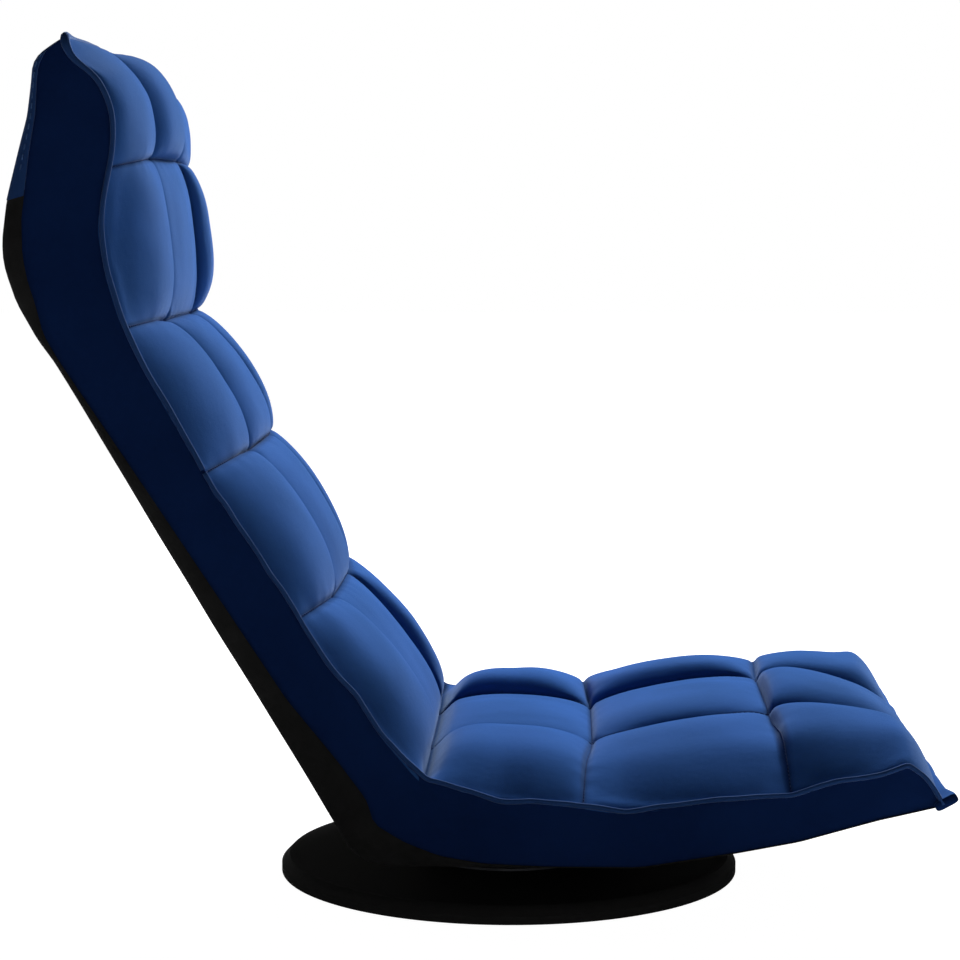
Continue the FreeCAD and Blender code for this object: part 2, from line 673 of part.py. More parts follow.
def swivel_parts():
    """The turning half of the bearing, its balls, the rails and their bolts."""
    ends = [(x, y) for x in (-1, 1) for y in (-1, 1)]
    bolt_x = "sqrt(Size.screw_circle ^ 2 - Size.rail_offset ^ 2)"
    spots = [("%d * %s" % (x, bolt_x), "%d * Size.rail_offset" % y) for x, y in ends]
    rail_floor = "(%s + Size.rail_wall)" % LEVEL_UPPER_TOP
    holes = [cylinder("upper_hole", "Size.bolt_radius + Size.bolt_play",
                      "Size.plate_thick + Size.rail_wall", upright(), x, y, LEVEL_UPPER_LOW)
             for x, y in spots]
    plate = cylinder("upper_blank", "Size.plate_radius", "Size.plate_thick", upright(),
                     z=LEVEL_UPPER_LOW)
    bore = cylinder("upper_bore", "Size.rivet_radius + Size.pin_play", "Size.plate_thick",
                    upright(), z=LEVEL_UPPER_LOW)
    node(cut(plate, bore, race(), *holes), "bearing_upper_plate")

    bolts = []
    for x, y in spots:
        shank = cylinder("upper_bolt", "Size.bolt_radius", "Size.plate_thick + Size.rail_wall",
                         upright(), x, y, LEVEL_UPPER_LOW)
        head = cylinder("upper_bolt_head", "Size.bolt_head", "Size.bolt_head_thick", upright(),
                        x, y, rail_floor)
        bolts.append(joined("upper_bolt_whole", shank, head))
    group("bearing_upper_bolts", bolts)

    balls = []
    count = int(size("ball_count"))
    for i in range(count):
        ball = doc.addObject("Part::Sphere", "ball")
        turn = 360 * i / count
        bind(ball, Radius="Size.ball_radius",
             **base_texts("Size.race_radius * cos(%s)" % turn,
                          "Size.race_radius * sin(%s)" % turn, LEVEL_RACE))
        balls.append(ball)
    group("bearing_balls", balls)

    cross = [("Size.rail_forward + %d * Size.cross_gap / 2" % x, "%d * Size.rail_offset" % y)
             for x, y in ends]
    reach = "(Size.rail_wall + %s)" % SEAT_TUBE
    tap = [cylinder("frame_hole", "Size.bolt_radius + Size.bolt_play", reach, upright(), x, y,
                    "Size.underside - Size.rail_wall") for x, y in cross]
    rails = []
    for side in (-1, 1):
        low = "Size.rail_forward - Size.rail_length / 2"
        edge = "%d * Size.rail_offset - Size.rail_width / 2" % side
        outer = box("rail_blank", "Size.rail_length", "Size.rail_width", RAIL_HEIGHT,
                    low, edge, LEVEL_UPPER_TOP)
        inner = box("rail_inside", "Size.rail_length", "Size.rail_width - 2 * Size.rail_wall",
                    RAIL_HEIGHT + " - 2 * Size.rail_wall", low, edge + " + Size.rail_wall",
                    rail_floor)
        rails.append(cut(outer, inner, *(holes + tap)))
    group("swivel_rails", rails)

    bolts = []
    for x, y in cross:
        shank = cylinder("frame_bolt", "Size.bolt_radius", reach, upright(), x, y,
                         "Size.underside - Size.rail_wall")
        head = cylinder("frame_bolt_head", "Size.bolt_head", "Size.bolt_head_thick", upright(),
                        x, y, "Size.underside - Size.rail_wall - Size.bolt_head_thick")
        bolts.append(joined("frame_bolt_whole", shank, head))
    group("frame_bolts", bolts)
    return tap


def seat_parts(tap):
    """The seat's frame, webbing, foam, quilted pad, panels, welts and bottom cover."""
    bend_share = size("seat_bend") / size("seat_front")
    front_share = 1 - size("front_inset") / size("seat_front")
    axis = solved([("-Size.seat_tube_back", "Size.underside + " + SEAT_TUBE),
                   seat_text(bend_share, 0, SEAT_TUBE), seat_text(front_share, 0, SEAT_TUBE)])
    line = hoop(axis[:2], axis[2], solve(SEAT_TUBE_OFFSET), size("corner_radius"))
    shape_node("seat_frame", sweep_tube(line, size("tube_radius"), size("tube_wall")),
               seat_place())

    tubes = []
    for side in (-1, 1):
        x = "Size.rail_forward + %d * Size.cross_gap / 2" % side
        half = "(%s - Size.tube_radius - Size.slack)" % SEAT_TUBE_OFFSET
        length = "2 * " + half
        low = "-" + half
        outer = cylinder("cross_blank", "Size.tube_radius", length, sideways(), x, low,
                         "Size.underside + " + SEAT_TUBE)
        inner = cylinder("cross_inside", "Size.tube_radius - Size.tube_wall", length, sideways(),
                         x, low, "Size.underside + " + SEAT_TUBE)
        tubes.append(cut(outer, inner, *tap))
    group("seat_cross_tubes", tubes)

    tilt = math.degrees(math.atan2(axis[2].z - axis[1].z, axis[2].x - axis[1].x))
    lift = solve(SEAT_TUBE + " + Size.tube_radius + Size.slack")
    places = []
    for share in STRAP_SHARES:
        spot = solved([seat_text(share, 0)])[0]
        turn = tilt if share > bend_share else 0
        places.append(Placement(spot + UP * lift, Rotation(ACROSS, -turn)))
    shape_node("seat_webbing", straps(places, solve(SEAT_TUBE_OFFSET)), seat_place())

    edge_texts = [seat_text(s, t) for s, t in SEAT_EDGE_SHARES]
    edge_line = solved(edge_texts)
    last = SEAT_EDGE_SHARES[-1][0]
    drop = "-(Size.tuft_seat + Size.slack)"
    floor = [(SEAT_TAIL, "Size.underside + " + FOAM_FLOOR), seat_text(bend_share, 0, FOAM_FLOOR),
             seat_text(last, 0, FOAM_FLOOR)]
    top = [seat_text(s, t, drop) for s, t in reversed(SEAT_EDGE_SHARES)]
    foam = outline_body("seat_foam_block", floor + top, PAD_WIDTH, seat_place())
    pockets = hinge_pockets("seat", hinge_place(), "Size.hinge_back",
                            "2 * Size.recline_plate", "2 * Size.recline_plate")
    node(cut(foam, *pockets), "seat_foam")

    seams = [seat_text(s, t) for s, t in SEAT_SEAM_SHARES]
    pad_over("seat_tufts", seams, edge_line, SEAT_BULGE_SHARES, "seat_crown", seat_place())

    cover = "Size.fabric + Size.slack"
    rim = [(SEAT_TAIL, "Size.underside + " + cover), seat_text(bend_share, 0, cover),
           seat_text(1, 0, cover)]
    tail = (SEAT_TAIL, "Size.hinge_height - Size.panel")
    panel = outline_body("seat_panel", rim + list(reversed(edge_texts)) + [tail], "Size.panel",
                         seat_place(side_offset()))
    pair(panel, "seat_side_panels")
    welt("seat_welts", edge_line, seat_place)

    front = [seat_text(last, SEAT_EDGE_SHARES[-1][1]), seat_text(1, 0, cover)]
    behind = [("%s - Size.panel" % x, z) for x, z in reversed(front)]
    node(outline_body("front_facing", front + behind, PAD_WIDTH, seat_place()),
         "seat_front_facing")

    hem_x, hem_z = seat_text(1, 0, "Size.hem_radius")
    node(cylinder("hem", "Size.hem_radius", "2 * Size.half_width", sideways(),
                  hem_x + " + Size.hem_radius + Size.slack", "-Size.half_width", hem_z),
         "front_hem_welt")

    under = [(SEAT_TAIL, "Size.underside"), seat_text(bend_share, 0), seat_text(1, 0)]
    cover_body = strip("bottom_cover_blank", under, "Size.fabric", "2 * Size.half_width",
                       seat_place())
    node(cut(cover_body, *tap), "seat_bottom_cover")


def hinge_pockets(name, place, behind, ahead, reach):
    """Two boxes that clear the foam around the ratchet hinges, along the frame's X."""
    pockets = []
    inner = "(%s - Size.tube_radius - Size.slack)" % BACK_TUBE_OFFSET
    for side in (-1, 1):
        pocket = doc.addObject("Part::Box", name + "_pocket")
        bind(pocket, Length="%s + %s" % (behind, ahead), Width="Size.half_width - " + inner,
             Height="2 * (%s)" % reach)
        y = solve(inner) if side > 0 else -size("half_width")
        shift = Vector(-solve(behind), y, -solve(reach))
        pocket.Placement = place.multiply(Placement(shift, Rotation()))
        pockets.append(pocket)
    return pockets


def frame_loop(label, place, start, far, offset_text, radius_text, height_text, corner):
    """A U of bent tube that lies in a pad: from its open ends to the closed far end."""
    height = solve(height_text)
    ends = [at(-solve(start), height)]
    line = hoop(ends, at(-solve(far), height), solve(offset_text), solve(corner))
    shape_node(label, sweep_tube(line, solve(radius_text), size("tube_wall")), place)


def flat_straps(label, shares, length, height_text, half_text, place):
    """Webbing across a flat frame, at shares of its length."""
    places = [Placement(at(-share * size(length), solve(height_text)), Rotation())
              for share in shares]
    shape_node(label, straps(places, solve(half_text)), place)


def cross_tubes(label, reaches, place_of):
    """Straight tubes between the side tubes of the back, at shares of its length."""
    tubes = []
    half = "(%s - Size.tube_radius - Size.slack)" % BACK_TUBE_OFFSET
    for share in reaches:
        blanks = []
        for radius in ("Size.tube_radius", "Size.tube_radius - Size.tube_wall"):
            blank = doc.addObject("Part::Cylinder", "cross_blank")
            bind(blank, Radius=radius, Height="2 * " + half)
            shift = Vector(-share * size("back_length"), -solve(half), solve(BACK_TUBE))
            blank.Placement = place_of().multiply(Placement(shift, sideways().Rotation))
            blanks.append(blank)
        tubes.append(cut(*blanks))
    group(label, tubes)


def back_parts():
    """The back's frame, webbing, foam, quilted pads, panels, welts and cover."""
    cover = "Size.fabric + Size.slack"
    frame_loop("back_frame", back_place(), "Size.frame_start", "Size.back_length - Size.frame_gap",
               BACK_TUBE_OFFSET, "Size.tube_radius", BACK_TUBE, "Size.corner_radius")
    cross_tubes("back_cross_tubes", BACK_CROSS_SHARES, back_place)
    flat_straps("back_webbing", BACK_STRAP_SHARES, "back_length",
                BACK_TUBE + " + Size.tube_radius + Size.slack", BACK_TUBE_OFFSET, back_place())

    edge_texts = [back_text(s, t) for s, t in BACK_EDGE_SHARES]
    edge_line = solved(edge_texts)
    floor = "(-Size.back_depth + %s)" % FOAM_FLOOR
    drop = "-(Size.tuft_seat + Size.slack)"
    heel = [("-Size.foam_gap", floor)]
    top = [back_text(s, t, drop) for s, t in BACK_EDGE_SHARES]
    toe = [("-Size.back_length + Size.foam_gap", floor)]
    foam = outline_body("back_foam_block", heel + top + toe, PAD_WIDTH, back_place())
    pockets = hinge_pockets("back", back_place(), "Size.cheek_reach", "Size.hinge_back",
                            "2 * Size.recline_plate")
    pockets += hinge_pockets("neck", neck_place(), "Size.frame_gap",
                             "Size.neck_reach + Size.panel", "2 * Size.head_plate")
    node(cut(foam, *pockets), "back_foam")

    for label, shares, bulges in (("back_tufts", BACK_SEAM_SHARES, BACK_BULGE_SHARES),
                                  ("lumbar_tufts", LUMBAR_SEAM_SHARES, LUMBAR_BULGE_SHARES)):
        seams = [back_text(s, t) for s, t in shares]
        pad_over(label, seams, edge_line, bulges, "back_crown", back_place())

    raised = "-Size.back_depth + " + cover
    bend = "-%s * Size.back_length" % NECK_BEND_SHARE
    neck = "-Size.back_length + Size.panel"
    rear = [("-Size.back_length + Size.neck_gap", "0"),
            (neck, "-%s * Size.back_depth + %s" % (NECK_DEPTH_SHARE, cover)),
            (bend, raised), ("-Size.panel", raised)]
    panel = outline_body("back_panel", [("-Size.heel_gap", "0")] + edge_texts + rear,
                         "Size.panel", back_place(side_offset()))
    pair(panel, "back_side_panels")
    welt("back_welts", edge_line, back_place)
    under = [("-Size.panel", "-Size.back_depth"), (bend, "-Size.back_depth"),
             (neck, "-%s * Size.back_depth" % NECK_DEPTH_SHARE)]
    node(strip("back_cover_strip", under, "Size.fabric", "2 * Size.half_width", back_place()),
         "back_cover")


def in_frame(points, inner, outer):
    """Points of one frame given in another."""
    change = outer.inverse().multiply(inner)
    return [change.multVec(point) for point in points]


def neck_tufts():
    """The row of tufts over the head hinge: its foot runs from the back to the head."""
    back_edge = solved([back_text(s, t) for s, t in BACK_EDGE_SHARES])
    head_edge = in_frame(solved([head_text(s, t) for s, t in HEAD_EDGE_SHARES]), head_place(),
                         back_place())
    seams = solved([back_text(s, t) for s, t in NECK_SEAM_SHARES])
    first = at(seams[0].x, height_on(back_edge, seams[0].x))
    middle = [point for point in back_edge if point.x < seams[0].x] + [head_edge[0]]
    last = head_edge[2]
    base = [point - UP * size("tuft_seat") for point in [first] + middle + [last]]
    rises = [share * size("neck_crown") for share in NECK_BULGE_SHARES]
    whole = back_edge + head_edge
    quilted_pad("neck_tufts", seams, [first, last], base, rises,
                edge_rises([first, last], whole), back_place())


def head_parts():
    """The head's frame, webbing, foam, quilted pad, panels, welts and cover."""
    cover = "Size.fabric + Size.slack"
    radius = "Size.head_tube_radius"
    frame_loop("head_frame", head_place(), "Size.frame_gap", "Size.head_length - Size.head_inset",
               HEAD_TUBE_OFFSET, radius, HEAD_TUBE, "Size.head_corner")
    flat_straps("head_webbing", HEAD_STRAP_SHARES, "head_length",
                HEAD_TUBE + " + %s + Size.slack" % radius, HEAD_TUBE_OFFSET, head_place())

    edge_texts = [head_text(s, t) for s, t in HEAD_EDGE_SHARES]
    edge_line = solved(edge_texts)
    floor = "(%s + %s + 2 * Size.slack + Size.strap_thick)" % (HEAD_TUBE, radius)
    drop = "-(Size.tuft_seat + Size.slack)"
    top = [head_text(s, t, drop) for s, t in HEAD_EDGE_SHARES if t > HEAD_FOAM_SHARE]
    outline = [("-Size.heel_gap", floor)] + top + [(top[-1][0], floor)]
    foam = outline_body("head_foam_block", outline, PAD_WIDTH, head_place())
    pockets = hinge_pockets("head", head_place(), HEAD_CHEEK + " + Size.head_tube_radius",
                            "Size.hinge_back", "2 * Size.head_plate")
    node(cut(foam, *pockets), "head_foam")
    seams = [head_text(s, t) for s, t in HEAD_SEAM_SHARES]
    pad_over("head_tufts", seams, edge_line, HEAD_BULGE_SHARES, "head_crown", head_place())

    raised = "-Size.head_depth + " + cover
    crown = "-%s * Size.head_length" % HEAD_BEND_SHARE
    outline = [("-Size.neck_gap", "0")] + edge_texts + [(crown, raised), ("-Size.panel", raised)]
    panel = outline_body("head_panel", outline, "Size.panel", head_place(side_offset()))
    pair(panel, "head_side_panels")
    welt("head_welts", edge_line, head_place)
    under = [("-Size.panel", "-Size.head_depth"), (crown, "-Size.head_depth"),
             ("-%s * Size.head_length" % HEAD_EDGE_SHARES[-1][0],
              "-%s * Size.head_depth" % HEAD_TIP_SHARE)]
    node(strip("head_cover_strip", under, "Size.fabric", "2 * Size.half_width", head_place()),
         "head_back_cover")


def inset(points, gap):
    """A polygon of the X-Z plane whose sides are each moved inwards by the gap."""
    turns = [a.x * b.z - b.x * a.z for a, b in zip(points, points[1:] + points[:1])]
    side = 1 if sum(turns) > 0 else -1
    moved = []
    for before, corner, after in zip(points[-1:] + points[:-1], points, points[1:] + points[:1]):
        first = (corner - before).normalize()
        second = (after - corner).normalize()
        normals = [Vector(-way.z, 0, way.x) * side for way in (first, second)]
        total = normals[0] + normals[1]
        moved.append(corner + total * (2 * gap / total.Length ** 2))
    return moved


def gusset(label, points, place):
    """The pair of side pieces that fill the wedge between two side panels."""
    points = inset(points, size("slack"))
    face = Part.Face(Part.makePolygon(points + points[:1]))
    thick = size("panel")
    pair(shaped(label + "_left", slab([face], thick), place(side_offset())), label)


def bend_pieces():
    """The fabric that joins seat and back, and back and head, around the hinges."""
    cover = "Size.fabric + Size.slack"
    seat_end = solved([(SEAT_TAIL, "Size.underside + " + cover),
                       (SEAT_TAIL, "Size.hinge_height - Size.panel"),
                       seat_text(*SEAT_EDGE_SHARES[0])])
    back_end = [back_text(*CREASE_SHARES), back_text(*BACK_EDGE_SHARES[0]),
                ("-Size.heel_gap", "0"), ("-Size.panel", "-Size.back_depth + " + cover)]
    points = seat_end + in_frame(solved(back_end), back_place(), seat_place())
    gusset("crease_gussets", points, seat_place)

    reach = size("back_depth")
    bow("hinge_wrap", reach, reach, -90 + spread_deg(reach),
        -90 - size("recline_deg") - spread_deg(reach), hinge_place())

    back_end = [("-Size.back_length + Size.panel", "-%s * Size.back_depth + %s"
                 % (NECK_DEPTH_SHARE, cover)),
                ("-Size.back_length + Size.neck_gap", "0"), back_text(*BACK_EDGE_SHARES[-1])]
    head_end = [head_text(*HEAD_EDGE_SHARES[0]), ("-Size.neck_gap", "0"),
                ("-Size.panel", "-Size.head_depth + " + cover)]
    points = solved(back_end) + in_frame(solved(head_end), head_place(), back_place())
    gusset("neck_gussets", points, back_place)

    near = NECK_DEPTH_SHARE * size("back_depth")
    far = size("head_depth")
    bow("neck_wrap", near, far, -90 + spread_deg(near), -90 - size("bend_deg") - spread_deg(far),
        neck_place())


def spread_deg(reach):
    """Angle at a hinge between the plumb line and the end of the cover beside it."""
    return math.degrees(math.atan2(size("panel") - 2 * size("slack"), reach))


def bow(label, near, far, start_deg, end_deg, place):
    """A curved strip of cover about a hinge, from one radius and angle to another."""
    outer = []
    inner = []
    steps = 8
    for i in range(steps + 1):
        share = i / steps
        turn = math.radians(start_deg + (end_deg - start_deg) * share)
        reach = near + (far - near) * share
        outer.append(at(reach * math.cos(turn), reach * math.sin(turn)))
        reach -= size("fabric")
        inner.append(at(reach * math.cos(turn), reach * math.sin(turn)))
    loop = outer + inner[::-1]
    strip_face = Part.Face(Part.makePolygon(loop + loop[:1]))
    shape_node(label, slab([strip_face], 2 * size("half_width")), place)


def hinge_parts():
    """The two pairs of ratchet hinges."""
    outer = BACK_TUBE_OFFSET + " + Size.tube_radius + Size.slack"
    middle = solve(outer + " + Size.cheek_plate + Size.slack + Size.tooth_plate / 2")
    ratchet_hinge("recline", "recline_plate", middle,
                  at(solve("Size.hinge_back - Size.wheel_reach"),
                     solve("Size.underside - Size.hinge_height + " + SEAT_TUBE)),
                  at(-size("cheek_reach"), solve(BACK_TUBE)), size("frame_start"),
                  hinge_place, back_place, "recline_deg")
    middle = solve(outer + " + Size.tooth_plate / 2")
    ratchet_hinge("head", "head_plate", middle, at(size("neck_reach"), solve(BACK_TUBE)),
                  at(-solve(HEAD_CHEEK), solve(HEAD_TUBE)), size("frame_gap"), neck_place,
                  head_place, "bend_deg")


base_parts()
frame_holes = swivel_parts()
seat_parts(frame_holes)
back_parts()
neck_tufts()
head_parts()
hinge_parts()
bend_pieces()
doc.recompute()

faults = [piece.Label for piece in doc.Objects
          if "Invalid" in piece.State or "Error" in piece.State]
faults += [piece.Label for piece in nodes if piece.Shape.isNull() or not piece.Shape.isValid()]
if faults:
    raise RuntimeError("pieces that failed: " + ", ".join(faults))

os.makedirs("parts", exist_ok=True)
for piece in nodes:
    piece.Shape.exportStep("parts/%s.step" % piece.Label)
    print("%-24s %2d solids %12.1f mm3" % (piece.Label, len(piece.Shape.Solids), piece.Shape.Volume))
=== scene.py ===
"""Looks of the quilted floor chair: velvet tufts, piping, side panels, rear covers and the swivel disc."""

import json
import math

import bmesh
import bpy
import numpy as np
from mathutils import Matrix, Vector


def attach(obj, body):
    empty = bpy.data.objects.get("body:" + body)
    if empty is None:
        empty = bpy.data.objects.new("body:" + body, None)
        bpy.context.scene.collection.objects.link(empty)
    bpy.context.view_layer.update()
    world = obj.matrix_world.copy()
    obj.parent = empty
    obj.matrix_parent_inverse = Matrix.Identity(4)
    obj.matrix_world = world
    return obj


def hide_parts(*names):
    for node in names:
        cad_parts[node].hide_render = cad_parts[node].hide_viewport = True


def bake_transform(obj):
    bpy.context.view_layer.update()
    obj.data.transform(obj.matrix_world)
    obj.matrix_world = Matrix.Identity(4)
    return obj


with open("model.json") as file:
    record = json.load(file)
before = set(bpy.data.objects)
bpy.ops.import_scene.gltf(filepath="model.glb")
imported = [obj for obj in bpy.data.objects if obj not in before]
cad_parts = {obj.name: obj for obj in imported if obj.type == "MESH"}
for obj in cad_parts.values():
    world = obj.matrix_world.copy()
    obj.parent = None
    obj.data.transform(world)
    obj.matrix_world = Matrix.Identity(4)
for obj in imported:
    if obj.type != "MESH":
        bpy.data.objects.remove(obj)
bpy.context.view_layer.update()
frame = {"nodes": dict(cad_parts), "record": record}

MM = 0.001
NEAR_ZERO = 1e-6
RECLINE_AXIS = np.array([-95.0, 94.0])
HEAD_AXIS = np.array([-368.5, 553.8])
BACK_COS, BACK_SIN = 0.5113, 0.8594
HEAD_COS, HEAD_SIN = -0.2122, 0.9772
HALF_WIDTH = 250.0
COLUMN_SEAM = 78.0


# Lines in the side view

def on_back(points):
    """Turns (along, up) points of the back's own frame into side-view x, z: the recline axis plus the
    turned point."""
    p = np.array(points, float)
    return RECLINE_AXIS + np.stack([p[:, 0] * BACK_COS + p[:, 1] * BACK_SIN,
                                    -p[:, 0] * BACK_SIN + p[:, 1] * BACK_COS], 1)


def on_head(points):
    """Turns (along, up) points of the head's own frame into side-view x, z: the head axis plus the turned
    point."""
    p = np.array(points, float)
    return HEAD_AXIS + np.stack([p[:, 0] * HEAD_COS + p[:, 1] * HEAD_SIN,
                                 -p[:, 0] * HEAD_SIN + p[:, 1] * HEAD_COS], 1)


def length_along(line):
    """Distance of each point of a line from its start: the running sum of the steps."""
    steps = np.linalg.norm(np.diff(line, axis=0), axis=1)
    return np.concatenate([[0.0], np.cumsum(steps)])


def walk(line, count=600):
    """The line as count points at even distances, softened: a moving average of five rounds its corners."""
    s = length_along(line)
    even = np.linspace(0, s[-1], count)
    out = np.stack([np.interp(even, s, line[:, k]) for k in (0, 1)], 1)
    padded = np.concatenate([np.repeat(out[:1], 2, 0), out, np.repeat(out[-1:], 2, 0)])
    soft = np.stack([np.convolve(padded[:, k], np.ones(5) / 5, "valid") for k in (0, 1)], 1)
    soft[0], soft[-1] = line[0], line[-1]
    return soft


HEAD_EDGE = [(-165, -3), (-153, 0), (-146, 10), (-139, 26), (-130, 34), (-119, 42), (-103, 47), (-88, 50),
             (-76, 51), (-61, 50), (-43, 51), (-22, 54), (-8, 59)]
BACK_EDGE = [(-480, 41), (-452, 34), (-430, 31), (-404, 29), (-347, 28), (-294, 26), (-239, 30), (-163, 31.5),
             (-131, 33), (-101, 38), (-62, 40), (-36, 46), (-16, 51)]
SEAT_EDGE = np.array([(-43, 131), (-19, 124), (-1, 118), (25, 118), (55, 115), (97, 109), (138, 115),
                      (185, 121), (227, 123), (262, 135), (297, 141), (319, 150), (332, 140),
                      (347, 117)], float)
EDGE = walk(np.concatenate([on_head(HEAD_EDGE), on_back(BACK_EDGE), SEAT_EDGE]))

SEAM_ON_COLUMN = np.concatenate([
    on_head([(-160.6, 1)]), [(-300, 622.5), (-289, 487.5), (-218.5, 378.5), (-148.7, 253), (-61, 130),
                             (72.5, 128.5), (221.7, 154.8), (346, 120)]])
SEAM_ON_EDGE = np.concatenate([
    on_head([(-165, -3)]), [(-308.3, 615.2), (-293.1, 490.4), (-231.7, 376.1), (-158.8, 262.0),
                            (-60.1, 133.3), (63.3, 115.3), (227.8, 123.7), (347, 117)]])
RISE_MIDDLE = [29.5, 17, 26, 24.5, 19.5, 19, 20, 34.5]
RISE_RIGHT = [24, 24.5, 26, 30, 30, 28.5, 21, 34]
RISE_LEFT = [19.5, 30, 23, 20, 25, 35.5, 36, 35]
PEAK_RIGHT = [0.34, 0.38, 0.38, 0.38, 0.38, 0.42, 0.45, 0.36]
PEAK_LEFT = [0.12, 0.25, 0.2, 0.16, 0.16, 0.3, 0.4, 0.3]
LEAN = [1.2, 1.12, 1.1, 1.1, 1.1, 1.0, 1.0, 0.85]
DROP_ROWS = [0, 0.25, 0.6, 1, 1.5, 2, 2.5, 3, 3.5, 4, 4.5, 5, 5.6, 6]
LEFT_EDGE_DROP = [0, 6, 15, 14, 10, 13, 9, 9, 9, 13, 9, 14, 4, 0]
SEAM_KEEP = [0.0, 0.5, 0.4, 0.35, 0.35, 0.0, 0.5, 0.6, 0.0]
ROWS = len(RISE_MIDDLE)
COLUMN_KEEP = 0.3
CUT = 3
CREASE_ROW = 5
CLOTH_FRAMES = 20
SHIFT_LIMIT = 1.2
PANEL_THICK = 2.5
COVER_THICK = 2.2
PIPING_RADIUS = 2.0
HEAD_PIPING_RADIUS = 2.1
HEM_PLACE = (348.5, 118.5)
HEM_HALF_LONG, HEM_HALF_THICK = 9.5, 3.8
HEM_TILT = 29
ROW_LENGTH = 130.0

PANEL_SEAM = walk(np.concatenate([
    np.array([(-337.5, 713), (-343.9, 709.3), (-352.5, 703.2), (-358.6, 691), (-360.1, 675.2),
              (-361.2, 655.3), (-367.3, 622.2),
              (-371.8, 587.1), (-373.7, 575.4), (-373.4, 545.2), (-369.6, 525.1),
              (-364.2, 508.3), (-358, 484)]),
    on_back([(-447, -27), (-306, -20), (-127, -12), (-66, -3), (-26, 1), (-6, -4)]),
    np.array([(-101, 97), (-78, 83), (-50, 72), (-15, 66), (35, 64), (109, 64), (182, 76), (234, 86),
              (297, 104), (344, 115)])]))
REAR = walk(np.concatenate([
    np.array([(-339, 713.5), (-348.6, 707.5), (-359.6, 699.8), (-364, 692.2), (-365, 680.7), (-368.7, 652.3),
              (-377.4, 619.2), (-386.1, 587.1), (-390.2, 558.9), (-390.4, 545.7), (-388.4, 533.2),
              (-380.1, 508.3)]),
    on_back([(-469, -34), (-447, -32), (-306, -32), (-127, -32), (-66, -32), (-44, -32), (-22, -32)]),
    np.array([(-122, 76), (-110, 66), (-95, 62), (35, 62), (109, 62), (182, 74), (234, 84), (297, 102),
              (344, 113)])]))


def nearest(line, point):
    """Index of the point of a line nearest to a given one."""
    return int(np.argmin(np.linalg.norm(line - np.asarray(point), axis=1)))


EDGE_MARKS = [nearest(EDGE, p) for p in SEAM_ON_EDGE]
EDGE_MARKS[0], EDGE_MARKS[-1] = 0, len(EDGE) - 1
PANEL_ENDS = np.concatenate([[(-337.5, 713), (-367.3, 622.2)],
                             on_back([(-452, -25), (-306, -20), (-163, -14), (-14, -2)]),
                             [(45, 64), (227, 85), (344, 115)]])
PANEL_MARKS = [nearest(PANEL_SEAM, p) for p in PANEL_ENDS]
PANEL_MARKS[0], PANEL_MARKS[-1] = 0, len(PANEL_SEAM) - 1
REAR_ENDS = np.concatenate([[(-339, 713.5), (-377.4, 619.2)],
                            on_back([(-452, -32), (-306, -32), (-163, -32), (-14, -32)]),
                            [(45, 62), (227, 83), (344, 113)]])
REAR_MARKS = [nearest(REAR, p) for p in REAR_ENDS]
REAR_MARKS[0], REAR_MARKS[-1] = 0, len(REAR) - 1


def row_of(line, marks, point):
    """Row position of the point of a line nearest to a given one."""
    s = length_along(line)
    return float(np.interp(s[nearest(line, point)], s[np.array(marks)], np.arange(len(marks))))


def at_row(line, marks, u):
    """Point of a line at row position u: the distance between two marks shared out evenly inside a row."""
    s = length_along(line)
    marked = s[np.array(marks)]
    place = np.interp(u, np.arange(len(marks)), marked)
    return np.stack([np.interp(place, s, line[:, k]) for k in (0, 1)], -1)


def edge_line(u, side):
    """The edge line at row position u; on the left side it lies a few millimetres lower along the back, as
    pulled by the cover."""
    line = at_row(EDGE, EDGE_MARKS, u)
    if side < 0:
        return line
    drop = np.interp(u, DROP_ROWS, LEFT_EDGE_DROP)
    return line - drop[:, None] * row_normals(u)[0] - far_corner(u, HALF_WIDTH)[:, None] * [0, 1]


def far_corner(u, y):
    """How far the head's top left corner is rounded down, in mm: a parabola across the last 80 mm, fading
    out below."""
    return 17 * np.clip((y - 170) / 80, 0, 1) ** 2 * (1 - smooth(u, 0, 0.7))


# Meshes from grids

def grid_faces(rows, columns, closed=False):
    """Quads of a grid of rows by columns; closed joins the last column to the first."""
    i, j = np.meshgrid(np.arange(rows - 1), np.arange(columns if closed else columns - 1), indexing="ij")
    k = (j + 1) % columns
    quads = np.stack([i * columns + j, i * columns + k, (i + 1) * columns + k, (i + 1) * columns + j], -1)
    return quads.reshape(-1, 4)


def mesh_object(name, points, quads, extra=()):
    """An object at the origin from points in mm, an array of quads and a few larger faces."""
    faces = [tuple(q) for q in quads.tolist()] + [tuple(f) for f in extra]
    mesh = bpy.data.meshes.new(name)
    mesh.from_pydata((np.asarray(points, float) * MM).tolist(), [], faces)
    mesh.update()
    obj = bpy.data.objects.new(name, mesh)
    bpy.context.scene.collection.objects.link(obj)
    return obj


def outward(obj):
    """Recalculates the normals of a closed mesh so that they point out, which its volume then shows as
    positive, and shades it smooth."""
    work = bmesh.new()
    work.from_mesh(obj.data)
    bmesh.ops.recalc_face_normals(work, faces=work.faces)
    if work.calc_volume(signed=True) < 0:
        bmesh.ops.reverse_faces(work, faces=work.faces)
    work.to_mesh(obj.data)
    work.free()
    obj.data.shade_smooth()
    return obj


def subdivided(obj, levels=1):
    """Adds one smooth subdivision, the same in view and render."""
    soft = obj.modifiers.new("soft", "SUBSURF")
    soft.levels = soft.render_levels = levels
    return obj


